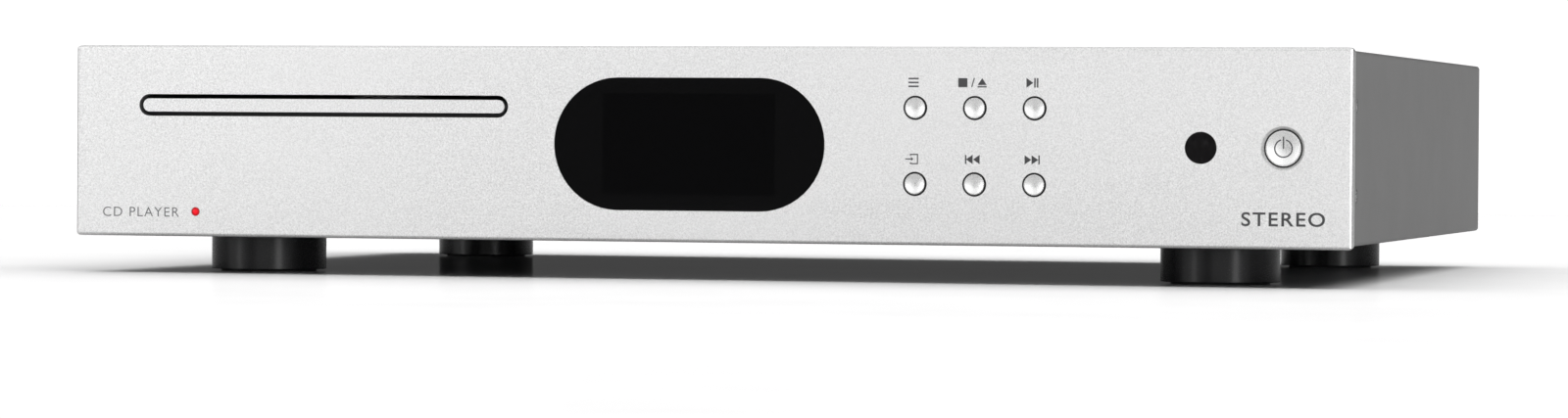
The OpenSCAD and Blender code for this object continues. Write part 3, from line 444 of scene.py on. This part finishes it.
TRAY = surface(
    "tray_plastic", (0.028, 0.028, 0.031), 0.44, grain_mm=0.4, grain_depth=0.012, mottle=0.12
)
PUCK = surface("puck_plastic", (0.72, 0.72, 0.69), 0.42)
MOTOR = turned_metal("drawn_can", (0.6, 0.6, 0.61), 0.3, (1, 1, 0.05))
SLED = surface("sled_casting", (0.05, 0.05, 0.055), 0.45, metal=0.6, grain_mm=0.7, grain_depth=0.03)
LENS = surface("coated_lens", (0.05, 0.07, 0.22), 0.05, grain_mm=3.0, grain_depth=0.001, coat=1.0)
BELT = surface("belt_rubber", (0.012, 0.012, 0.012), 0.7, grain_mm=0.5, grain_depth=0.02)
GEAR = surface("gear_plastic", (0.78, 0.77, 0.7), 0.38, grain_mm=0.6, grain_depth=0.008)
INK = surface(
    "dark_ink", (0.04, 0.04, 0.042), 0.6, specular=0.3, grain_mm=0.25, grain_depth=0.002,
    mottle=0.25, wear=0.0,
)
GREY_INK = surface(
    "grey_ink", (0.1, 0.1, 0.103), 0.6, specular=0.3, grain_mm=0.25, grain_depth=0.002,
    mottle=0.2, wear=0.0,
)
PALE_INK = surface(
    "pale_ink", (0.7, 0.7, 0.7), 0.5, grain_mm=0.25, grain_depth=0.002, mottle=0.1, wear=0.0
)
RED_RING = surface("red_collar", (0.45, 0.02, 0.02), 0.35, grain_mm=0.5)
WHITE_RING = surface("white_collar", (0.72, 0.72, 0.7), 0.35, grain_mm=0.5)
AMBER_RING = surface("amber_collar", (0.55, 0.2, 0.02), 0.35, grain_mm=0.5)
SLEEVE = surface("capacitor_sleeve", (0.012, 0.014, 0.03), 0.28, grain_mm=0.6, mottle=0.2)
CAN_TOP = turned_metal("capacitor_top", (0.8, 0.8, 0.81), 0.3)

FINISHES = {
    FASCIA: ["front_fascia", "tray_front"],
    BUTTON: [
        "button_menu", "button_stop_eject", "button_play_pause", "button_source",
        "button_previous", "button_next", "button_power",
    ],
    COVER: ["top_cover"],
    SHEET: ["front_subpanel", "base_pan", "loader_stands", "clamp_bridge"],
    REAR: ["rear_panel"],
    SCREW: ["case_screws", "foot_screws", "transformer_fixings", "guide_rods", "lead_screw"],
    FOOT: ["foot_front_left", "foot_front_right", "foot_rear_left", "foot_rear_right"],
    PAD: ["foot_pads"],
    WINDOW: ["display_window"],
    MODULE: ["display_module"],
    INFRARED: ["ir_window"],
    LAMP: ["power_lamp"],
    GUIDE: ["button_guide"],
    BOARD: ["front_board", "main_board"],
    BOARD_TAN: ["supply_board"],
    PARTS: ["front_board_parts", "board_parts"],
    BRASS: ["board_fixings", "mains_pins", "motor_pulley"],
    GOLD: ["line_outputs", "coax_output"],
    TAPE: ["mains_transformer"],
    SOCKET: ["mains_inlet", "switch_housing", "optical_output", "trigger_sockets"],
    ROCKER: ["switch_rocker", "optical_shutter"],
    LOADER: ["loader_frame", "sub_chassis"],
    TRAY: ["disc_tray", "turntable"],
    PUCK: ["clamp_puck"],
    MOTOR: ["spindle_motor", "loading_motor", "sled_motor"],
    SLED: ["laser_sled"],
    LENS: ["laser_lens"],
    BELT: ["loading_belt"],
    GEAR: ["pulley_wheel", "drive_gear"],
}

# Width in millimetres of the softened edges
EDGES = {
    "front_fascia": 0.12, "tray_front": 0.2, "display_window": 0.25, "ir_window": 0.2,
    "top_cover": 0.25, "base_pan": 0.2, "rear_panel": 0.15, "disc_tray": 0.2, "mains_inlet": 0.4,
    "switch_housing": 0.4, "switch_rocker": 0.5, "optical_output": 0.3, "loader_frame": 0.3,
    "clamp_puck": 0.3, "turntable": 0.25, "sub_chassis": 0.25, "laser_sled": 0.3, "spindle_motor": 0.4,
    "loading_motor": 0.5, "line_outputs": 0.2, "coax_output": 0.2, "trigger_sockets": 0.2,
    "button_menu": 0.1, "button_stop_eject": 0.1, "button_play_pause": 0.1, "button_source": 0.1,
    "button_previous": 0.1, "button_next": 0.1, "button_power": 0.12, "foot_pads": 0.3,
}


def dress_cad_nodes():
    """Gives every CAD node its finish and softens its edges."""
    for material, names in FINISHES.items():
        for name in names:
            node = frame["nodes"][name]
            node.data.materials.clear()
            node.data.materials.append(material)
    for name, width in EDGES.items():
        bevel = frame["nodes"][name].modifiers.new("soft_edges", "BEVEL")
        bevel.width = width * MM
        bevel.segments = 2
        bevel.limit_method = "ANGLE"
        bevel.angle_limit = math.radians(40)
        bevel.harden_normals = True


# ---------------------------------------------------------------- mesh helpers
def piece_from(mesh_name, build, material, body):
    """A piece from a bmesh that build fills, with its finish and body."""
    shape = bmesh.new()
    build(shape)
    mesh = bpy.data.meshes.new(mesh_name)
    bmesh.ops.recalc_face_normals(shape, faces=shape.faces)
    shape.to_mesh(mesh)
    shape.free()
    mesh.materials.append(material)
    piece = bpy.data.objects.new(mesh_name, mesh)
    bpy.context.scene.collection.objects.link(piece)
    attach(piece, body)
    return piece


def inked(shape, points):
    """A thin slab of ink on the fascia, outlined by (x, z) points in millimetres."""
    front, back = [
        [shape.verts.new((x * MM, FACE_Y + depth * MM, z * MM)) for x, z in points]
        for depth in (-INK_PROUD, INK_SUNK)
    ]
    shape.faces.new(front)
    shape.faces.new(back[::-1])
    for i, corner in enumerate(front):
        after = (i + 1) % len(front)
        shape.faces.new((corner, back[i], back[after], front[after]))


def box_points(x0, x1, z0, z1):
    return [(x0, z0), (x1, z0), (x1, z1), (x0, z1)]


def line_points(start, end, width):
    """The outline of a straight stroke."""
    run = Vector(end) - Vector(start)
    side = Vector((-run.y, run.x)).normalized() * width / 2
    return [tuple(Vector(p) + s) for p, s in ((start, -side), (end, -side), (end, side), (start, side))]


# ---------------------------------------------------------------- printed marks
# The places and sizes of the marks, liners and small details below are in millimetres, unless a
# comment says metres.
TOP_ICON_Z = 66.6
LOW_ICON_Z = 41.25
DISH_R = 5.5  # radius of the dish in the power button
DISH_DEPTH = 0.5
POWER_RING_R = 2.85
POWER_HALF_STROKE = 0.22
POWER_GAP = 16  # half the gap in the ring, in degrees


def bar(shape, x, half_width, low, high):
    inked(shape, box_points(x - half_width, x + half_width, low, high))


def icon_menu(shape):
    for rise in (1.3, 0.0, -1.3):
        bar(shape, 75.75, 1.75, TOP_ICON_Z + rise - 0.26, TOP_ICON_Z + rise + 0.26)


def icon_stop_eject(shape):
    z = TOP_ICON_Z
    bar(shape, 92.45, 1.55, z - 1.5, z + 1.5)
    inked(shape, line_points((95.45, z - 1.5), (96.35, z + 1.6), 0.36))
    inked(shape, [(97.45, z - 0.78), (100.55, z - 0.78), (99.0, z + 1.5)])
    bar(shape, 99.0, 1.55, z - 1.58, z - 1.12)


def icon_play_pause(shape):
    z = TOP_ICON_Z
    inked(shape, [(113.9, z - 1.62), (116.2, z), (113.9, z + 1.62)])
    for x in (116.75, 117.65):
        bar(shape, x, 0.26, z - 1.55, z + 1.55)


def icon_source(shape):
    """A box, open on its left, with an arrow into it."""
    z, left, right, half_height, stroke, lip = LOW_ICON_Z, 74.7, 77.45, 1.72, 0.4, 0.6
    inked(shape, line_points((73.1, z), (75.3, z), 0.38))
    inked(shape, [(75.0, z - 0.72), (75.85, z), (75.0, z + 0.72), (75.15, z)])
    bar(shape, right - stroke / 2, stroke / 2, z - half_height + stroke, z + half_height - stroke)
    for way in (1, -1):
        edges = sorted((z + way * half_height, z + way * (half_height - stroke)))
        inked(shape, box_points(left, right, *edges))
        edges = sorted((z + way * (half_height - stroke), z + way * (half_height - lip)))
        inked(shape, box_points(left, left + stroke, *edges))


def icon_skip(shape, bar_x, first_x, way):
    """Two triangles and a bar: way is 1 for next and -1 for previous."""
    z = LOW_ICON_Z
    bar(shape, bar_x, 0.24, z - 1.5, z + 1.5)
    for i in (0, 1):
        base = first_x - way * i * 2.35
        inked(shape, [(base, z - 1.55), (base + way * 2.25, z), (base, z + 1.55)])


def icon_previous(shape):
    icon_skip(shape, 93.6, 95.95, -1)


def icon_next(shape):
    icon_skip(shape, 118.3, 115.8, 1)


def power_icon(shape):
    """A broken ring and a stroke, laid into the dish of the power button."""
    button = centre("button_power")
    face_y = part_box("button_power")[0].y
    sphere_r = (DISH_R**2 + DISH_DEPTH**2) / (2 * DISH_DEPTH)

    def dished(x, z, lift):
        """A point at a lift over the dish, at (x, z) from the button's middle."""
        sag = math.sqrt(sphere_r**2 - x**2 - z**2) - math.sqrt(sphere_r**2 - DISH_R**2)
        return (button.x + x * MM, face_y + (sag - lift) * MM, MID_Z + z * MM)

    def stroke(left_edge, right_edge):
        """A closed strip of ink between two edges, each a list of (x, z) points."""
        rows = [
            [shape.verts.new(dished(x, z, lift)) for (x, z), lift in
             ((a, INK_PROUD), (b, INK_PROUD), (b, -INK_SUNK), (a, -INK_SUNK))]
            for a, b in zip(left_edge, right_edge)
        ]
        for here, there in zip(rows, rows[1:]):
            for i in range(4):
                k = (i + 1) % 4
                shape.faces.new((here[i], here[k], there[k], there[i]))
        shape.faces.new(rows[0])
        shape.faces.new(rows[-1][::-1])

    half, steps = POWER_HALF_STROKE, 48
    turn = (360 - 2 * POWER_GAP) / steps
    angles = [math.radians(90 + POWER_GAP + i * turn) for i in range(steps + 1)]
    stroke(*[
        [(r * math.cos(a), r * math.sin(a)) for a in angles]
        for r in (POWER_RING_R - half, POWER_RING_R + half)
    ])
    heights = [-0.15 + i * 0.4 for i in range(11)]
    stroke([(-half, z) for z in heights], [(half, z) for z in heights])


def print_icons():
    for name, build in (
        ("icon_menu", icon_menu),
        ("icon_stop_eject", icon_stop_eject),
        ("icon_play_pause", icon_play_pause),
        ("icon_source", icon_source),
        ("icon_previous", icon_previous),
        ("icon_next", icon_next),
    ):
        piece_from(name, build, INK, "case")
    piece_from("icon_power", power_icon, INK, "key_power")


def lettering(name, words, left, base, width, height, weight, ink):
    """
    A generic word printed on the fascia, its lower left corner at (left, base), fitted to a width
    and height. weight thickens its strokes, as a share of the letter size.
    """
    curve = bpy.data.curves.new(name + "_curve", "FONT")
    curve.body = words
    curve.size = 1.0
    curve.space_character = 1.15
    curve.offset = weight
    curve.extrude = 0.5
    text = bpy.data.objects.new(name + "_curve", curve)
    bpy.context.scene.collection.objects.link(text)
    mesh = bpy.data.meshes.new_from_object(text.evaluated_get(bpy.context.evaluated_depsgraph_get()))
    bpy.data.objects.remove(text)
    low_x, high_x = [pick(v.co.x for v in mesh.vertices) for pick in (min, max)]
    low_y, high_y = [pick(v.co.y for v in mesh.vertices) for pick in (min, max)]

    def fill(shape):
        shape.from_mesh(mesh)
        for v in shape.verts:
            along = (v.co.x - low_x) / (high_x - low_x)
            up = (v.co.y - low_y) / (high_y - low_y)
            depth = -INK_PROUD if v.co.z > 0 else INK_SUNK
            v.co = ((left + along * width) * MM, FACE_Y + depth * MM, (base + up * height) * MM)
        bmesh.ops.remove_doubles(shape, verts=shape.verts, dist=1e-7)

    return piece_from(name, fill, ink, "case")


def print_words():
    lettering("word_left", "CD PLAYER", -212.0, 19.35, 28.1, 3.3, -0.004, GREY_INK)
    lettering("word_right", "STEREO", 185.6, 20.2, 27.4, 4.6, 0.012, INK)


# ---------------------------------------------------------------- button liners, near-black as painted shade in the button gaps
SMALL_LINER = (3.5, 4.02, 0.35)  # inner radius, outer radius and depth of the front edge
POWER_LINER = (5.9, 6.32, 1.1)
LINER_BACK = 3.2  # depth of a liner's rear edge


def ring_profile(shape, x, other, profile, steps=40, upright=False):
    """
    Turns a profile of (radius, place along the axis in metres) round an axis. The axis runs to the
    rear through (x, z), or up through (x, y) if upright; both are in metres.
    """
    rows = []
    for i in range(steps):
        a = i * math.tau / steps
        row = [(x + r * MM * math.cos(a), along, other + r * MM * math.sin(a)) for r, along in profile]
        if upright:
            row = [(px, pz, py) for px, py, pz in row]
        rows.append([shape.verts.new(point) for point in row])
    for i in range(steps):
        here, there = rows[i], rows[(i + 1) % steps]
        for j in range(len(profile)):
            k = (j + 1) % len(profile)
            shape.faces.new((here[j], here[k], there[k], there[j]))


def button_gap_shade_sleeves(shape):
    """Black sleeves that line the fascia's button holes, with room for the caps to slide; their
    near-black is painted shade that makes the gaps round the caps read dark.
    """
    for name in FINISHES[BUTTON]:
        spot = centre(name)
        inner, outer, start = POWER_LINER if name == "button_power" else SMALL_LINER
        front, back = FACE_Y + start * MM, FACE_Y + LINER_BACK * MM
        outline = [(inner, front), (outer, front), (outer, back), (inner, back)]
        ring_profile(shape, spot.x, spot.z, outline)


# ---------------------------------------------------------------- rear details
PHONO_HALF = 6.5  # half the width of a phono socket's body
ROCKER_TILT = 8  # angle of the mains rocker at rest, in degrees
ROCKER_FACE = 4.5  # distance of the rocker's face from its pivot
ROCKER_RING_Z = -5.0  # middle of the ring on the rocker, from its pivot


def phono_trim(name, x, z, panel, mouth, ring):
    """
    A coloured collar round a phono socket and the insulator in its mouth, both in one colour. The
    places are in metres: the axis, the rear panel's outer face and the socket's mouth.
    """

    def collar(shape):
        ring_profile(shape, x, z, [
            (4.25, panel + 1.55 * MM), (6.1, panel + 1.55 * MM), (6.1, panel + 2.5 * MM),
            (5.7, panel + 2.9 * MM), (4.25, panel + 2.9 * MM),
        ])

    def insulator(shape):
        ring_profile(shape, x, z, [
            (1.68, mouth - 0.5 * MM), (1.68, mouth - 0.1 * MM), (1.9, mouth + 0.03 * MM),
            (3.2, mouth + 0.03 * MM), (3.3, mouth - 0.05 * MM), (3.3, mouth - 0.5 * MM),
        ])

    piece_from(name + "_collar", collar, ring, "case")
    piece_from(name + "_insulator", insulator, ring, "case")


def rocker_marks():
    """The line and the ring moulded into the two ends of the mains rocker."""
    hinge = next(joint for joint in frame["joints"] if joint["name"] == "mains_rock")
    pivot = Vector(hinge["pos_m"])
    tilt = Matrix.Rotation(math.radians(ROCKER_TILT), 3, "X")

    def on_rocker(x, z, lift):
        return pivot + tilt @ (Vector((x, ROCKER_FACE + lift, z)) * MM)

    def slab(shape, outer, inner=None):
        """A thin plate in the rocker's face, with a hole if inner is given."""
        under, over = -0.1, 0.06
        loops = [[shape.verts.new(on_rocker(x, z, lift)) for x, z in outer] for lift in (under, over)]
        if inner is None:
            shape.faces.new(loops[0])
            shape.faces.new(loops[1][::-1])
        else:
            for lift in (over, under):
                loops.append([shape.verts.new(on_rocker(x, z, lift)) for x, z in inner])
            loops.append(loops[0])
        for near, far in zip(loops, loops[1:]):
            for i in range(len(near)):
                k = (i + 1) % len(near)
                shape.faces.new((near[i], near[k], far[k], far[i]))

    def circle(radius):
        turns = [i * math.tau / 32 for i in range(32)]
        return [(radius * math.cos(a), radius * math.sin(a) + ROCKER_RING_Z) for a in turns]

    def marks(shape):
        slab(shape, box_points(-0.3, 0.3, 3.4, 6.8))
        slab(shape, circle(1.9), circle(1.35))

    piece_from("rocker_marks", marks, PALE_INK, hinge["child"])


def dress_rear():
    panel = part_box("rear_panel")[1].y
    low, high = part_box("line_outputs")
    middle = high.z - PHONO_HALF * MM
    for name, x, ring in (
        ("phono_left", low.x + PHONO_HALF * MM, WHITE_RING),
        ("phono_right", high.x - PHONO_HALF * MM, RED_RING),
        ("phono_digital", centre("coax_output").x, AMBER_RING),
    ):
        phono_trim(name, x, middle, panel, high.y, ring)
    rocker_marks()


# ---------------------------------------------------------------- inner details
CAN_LIP = 0.9  # width of the sleeve's rolled rim
CAN_SCORE = 0.12  # half the width of the cross scored in a capacitor's top
CAN_SKIN = 0.14  # thickness of the sleeve


def round_parts(node):
    """
    Axis (x and y in metres), radius, and foot and top (in metres) of every upright round part of a
    CAD node, found as a separate shell whose corners all lie on one radius.
    """
    source = frame["nodes"][node]
    shape = bmesh.new()
    shape.from_mesh(source.data)
    bmesh.ops.remove_doubles(shape, verts=shape.verts, dist=1e-6)
    waiting = set(shape.verts)
    found = []
    while waiting:
        island, edge = set(), {waiting.pop()}
        while edge:
            island |= edge
            edge = {e.other_vert(v) for v in edge for e in v.link_edges} & waiting
            waiting -= edge
        spots = [source.matrix_world @ v.co for v in island]
        low = Vector([min(spot[i] for spot in spots) for i in range(3)])
        high = Vector([max(spot[i] for spot in spots) for i in range(3)])
        middle, half = (low + high) / 2, (high - low) / 2
        reach = [math.hypot(spot.x - middle.x, spot.y - middle.y) for spot in spots]
        if len(spots) > 16 and max(reach) < half.x * 1.02 and abs(half.x - half.y) < 0.02 * half.x:
            found.append((middle.x, middle.y, half.x / MM, low.z, high.z))
    shape.free()
    return sorted(found)


def dress_capacitors():
    """A shrink sleeve rolled over the rim of each capacitor, and its bright top with a scored cross."""
    cans = round_parts("board_parts")

    def sleeves(shape):
        for x, y, radius, foot, top in cans:
            inner, start, rim = radius - 0.02, foot + 0.4 * MM, top + CAN_SKIN * MM
            ring_profile(shape, x, y, [
                (inner, start), (radius + CAN_SKIN, start), (radius + CAN_SKIN, top - 0.3 * MM),
                (radius - 0.15, rim), (radius - CAN_LIP, rim), (radius - CAN_LIP, top - 0.02 * MM),
                (inner, top - 0.02 * MM),
            ], upright=True)

    def tops(shape):
        for x, y, radius, _, top in cans:
            reach = radius - CAN_LIP - 0.05
            lean = math.asin(CAN_SCORE / reach)
            arc = [lean + i * (math.pi / 2 - 2 * lean) / 8 for i in range(9)]
            outline = [(CAN_SCORE, CAN_SCORE)]
            outline += [(reach * math.cos(a), reach * math.sin(a)) for a in arc]
            for quarter in range(4):
                turn = Matrix.Rotation(quarter * math.pi / 2, 2)
                spots = [turn @ Vector(point) * MM for point in outline]
                under, over = [
                    [shape.verts.new((x + spot.x, y + spot.y, top + lift * MM)) for spot in spots]
                    for lift in (-0.02, 0.08)
                ]
                shape.faces.new(under[::-1])
                shape.faces.new(over)
                for i, corner in enumerate(under):
                    k = (i + 1) % len(under)
                    shape.faces.new((corner, under[k], over[k], over[i]))

    piece_from("capacitor_sleeves", sleeves, SLEEVE, "case")
    piece_from("capacitor_tops", tops, CAN_TOP, "case")


# ---------------------------------------------------------------- camera, floor and light
FLOOR_RADIUS = 1.6  # metres
SUN_HEIGHT = 80  # elevation of the light over the table, in degrees
SUN_SPREAD = 112  # its width, in degrees


def make_camera():
    """
    A long lens low in front of the right-hand corner, turned to the left and slightly down, at a
    place in metres.
    """
    turn, dip, roll = math.radians(14.93), math.radians(0.811), math.radians(0.384)
    forward = Vector((-math.sin(turn) * math.cos(dip), math.cos(turn) * math.cos(dip), -math.sin(dip)))
    level = Vector((math.cos(turn), math.sin(turn), 0))
    up = level.cross(forward)
    right = math.cos(roll) * level + math.sin(roll) * up
    top = -math.sin(roll) * level + math.cos(roll) * up
    data = bpy.data.cameras.new("camera")
    data.sensor_width = 36
    data.lens = 114.2
    data.clip_start = 0.01
    data.clip_end = 100
    camera = bpy.data.objects.new("camera", data)
    bpy.context.scene.collection.objects.link(camera)
    camera.matrix_world = Matrix.Translation((0.4586, FACE_Y - 1.6011, 0.0477)) @ Matrix(
        (right, top, -forward)
    ).transposed().to_4x4()
    bpy.context.scene.camera = camera


def make_floor():
    """
    A wide white table top: matt, with a faint clear gloss that mirrors the feet at a low angle. It is
    dimmer in the reflections on the metal, so that the fascia's lower edge keeps its dark line.
    """
    material, tree, shader = new_material("white_table")
    haze = noise(tree, mapped(tree), 60, 2.0)
    tone = blend(tree, haze, (0.19, 0.19, 0.19, 1), (0.21, 0.21, 0.21, 1))
    reflected = add(tree, "ShaderNodeLightPath").outputs["Is Glossy Ray"]
    feed(
        tree,
        shader,
        Base_Color=blend(tree, reflected, tone, (0.1, 0.1, 0.1, 1)),
        Roughness=0.9,
        Specular_IOR_Level=0.0,
    )
    gloss = add(tree, "ShaderNodeBsdfGlossy", {"Roughness": spread(tree, haze, 0.05, 0.08)})
    facing = add(tree, "ShaderNodeLayerWeight", {"Blend": 0.5}).outputs["Facing"]
    share = maths(tree, "MULTIPLY", maths(tree, "POWER", facing, 5.0), 0.24)
    mixed = add(tree, "ShaderNodeMixShader", {"Fac": share})
    tree.links.new(shader.outputs[0], mixed.inputs[1])
    tree.links.new(gloss.outputs[0], mixed.inputs[2])
    tree.links.new(mixed.outputs[0], tree.nodes["Material Output"].inputs["Surface"])
    shape = bmesh.new()
    bmesh.ops.create_circle(shape, cap_ends=True, radius=FLOOR_RADIUS, segments=96)
    mesh = bpy.data.meshes.new("floor")
    shape.to_mesh(mesh)
    shape.free()
    mesh.materials.append(material)
    floor = bpy.data.objects.new("floor", mesh)
    bpy.context.scene.collection.objects.link(floor)
    return floor


def light_floor(floor):
    """A very broad sun, almost overhead, which lights the table top white round a soft shadow."""
    data = bpy.data.lights.new("table_light", "SUN")
    data.energy = 16.8
    data.angle = math.radians(SUN_SPREAD)
    lamp = bpy.data.objects.new("table_light", data)
    bpy.context.scene.collection.objects.link(lamp)
    lamp.rotation_euler = (math.radians(SUN_HEIGHT - 90), 0, 0)
    table = bpy.data.collections.new("table")
    table.objects.link(floor)
    lamp.light_linking.receiver_collection = table


def make_world():
    """
    A studio dome, laid out by azimuth (0 in front of the object, positive to its right) and
    elevation, in degrees. Pale panels fill the front and sides, with a narrow strip light on each
    side, a dim gap between them and a black flag where the display window would mirror them. A
    soft ceiling lights the top, and a faint horizon behind lights the rear.
    """
    world = bpy.data.worlds.new("studio")
    bpy.context.scene.world = world
    world.use_nodes = True
    tree = world.node_tree
    direction = add(tree, "ShaderNodeTexCoord").outputs["Generated"]
    x, y, z = add(tree, "ShaderNodeSeparateXYZ", {"Vector": direction}).outputs
    azimuth = maths(tree, "ARCTAN2", x, maths(tree, "MULTIPLY", y, -1.0))
    azimuth = maths(tree, "DEGREES", azimuth)
    off_front = maths(tree, "ABSOLUTE", azimuth)
    elevation = maths(tree, "DEGREES", maths(tree, "ARCSINE", z))

    def times(first, *others):
        for other in others:
            first = maths(tree, "MULTIPLY", first, other)
        return first

    def band(angle, start, end, soft):
        """1 from start to end, fading to 0 over soft degrees beyond them."""
        rise = spread(tree, angle, 0.0, 1.0, start - soft, start)
        fall = spread(tree, angle, 1.0, 0.0, end, end + soft)
        return times(rise, fall)

    low_band = band(elevation, -40, 24, 14)
    lights = (
        times(band(azimuth, -62, 60, 12), low_band, 1.2),
        times(band(azimuth, -62, -28, 8), low_band, 0.34),
        times(band(azimuth, 0, 60, 12), low_band, 0.16),
        times(band(azimuth, 36, 44, 2.5), band(elevation, -20, 30, 10), 9.0),
        times(band(azimuth, -44, -39, 2.5), band(elevation, -20, 30, 10), 4.0),
        times(band(off_front, 130, 180, 20), band(elevation, -5, 6, 6), 0.25),
        times(band(elevation, 45, 90, 15), 0.85),
    )
    level = 0.03
    for light in lights:
        level = maths(tree, "ADD", light, level)
    flag = times(band(azimuth, -21, -8, 3), band(elevation, -4, 3, 5))
    gap = times(band(azimuth, -32, -13, 6), band(elevation, -40, 40, 10))
    level = times(level, spread(tree, flag, 1.0, 0.03), spread(tree, gap, 1.0, 0.7))
    level = maths(tree, "ADD", level, 0.05)
    camera_ray = add(tree, "ShaderNodeLightPath").outputs["Is Camera Ray"]
    level = maths(tree, "MAXIMUM", level, times(camera_ray, 1.1))
    feed(tree, tree.nodes["Background"], Color=(1, 1, 1, 1), Strength=level)


def make_light():
    make_world()
    scene = bpy.context.scene
    scene.view_settings.view_transform = "Standard"
    scene.view_settings.look = "None"
    scene.view_settings.exposure = 0.0
    scene.view_settings.gamma = 1.0


# ---------------------------------------------------------------- make everything
make_camera()
light_floor(make_floor())
make_light()
dress_cad_nodes()
print_icons()
print_words()
# The black sleeves are painted shade in the button gaps
piece_from("button_gap_shade_sleeves", button_gap_shade_sleeves, SHADE_LINER, "case")
dress_rear()
dress_capacitors()
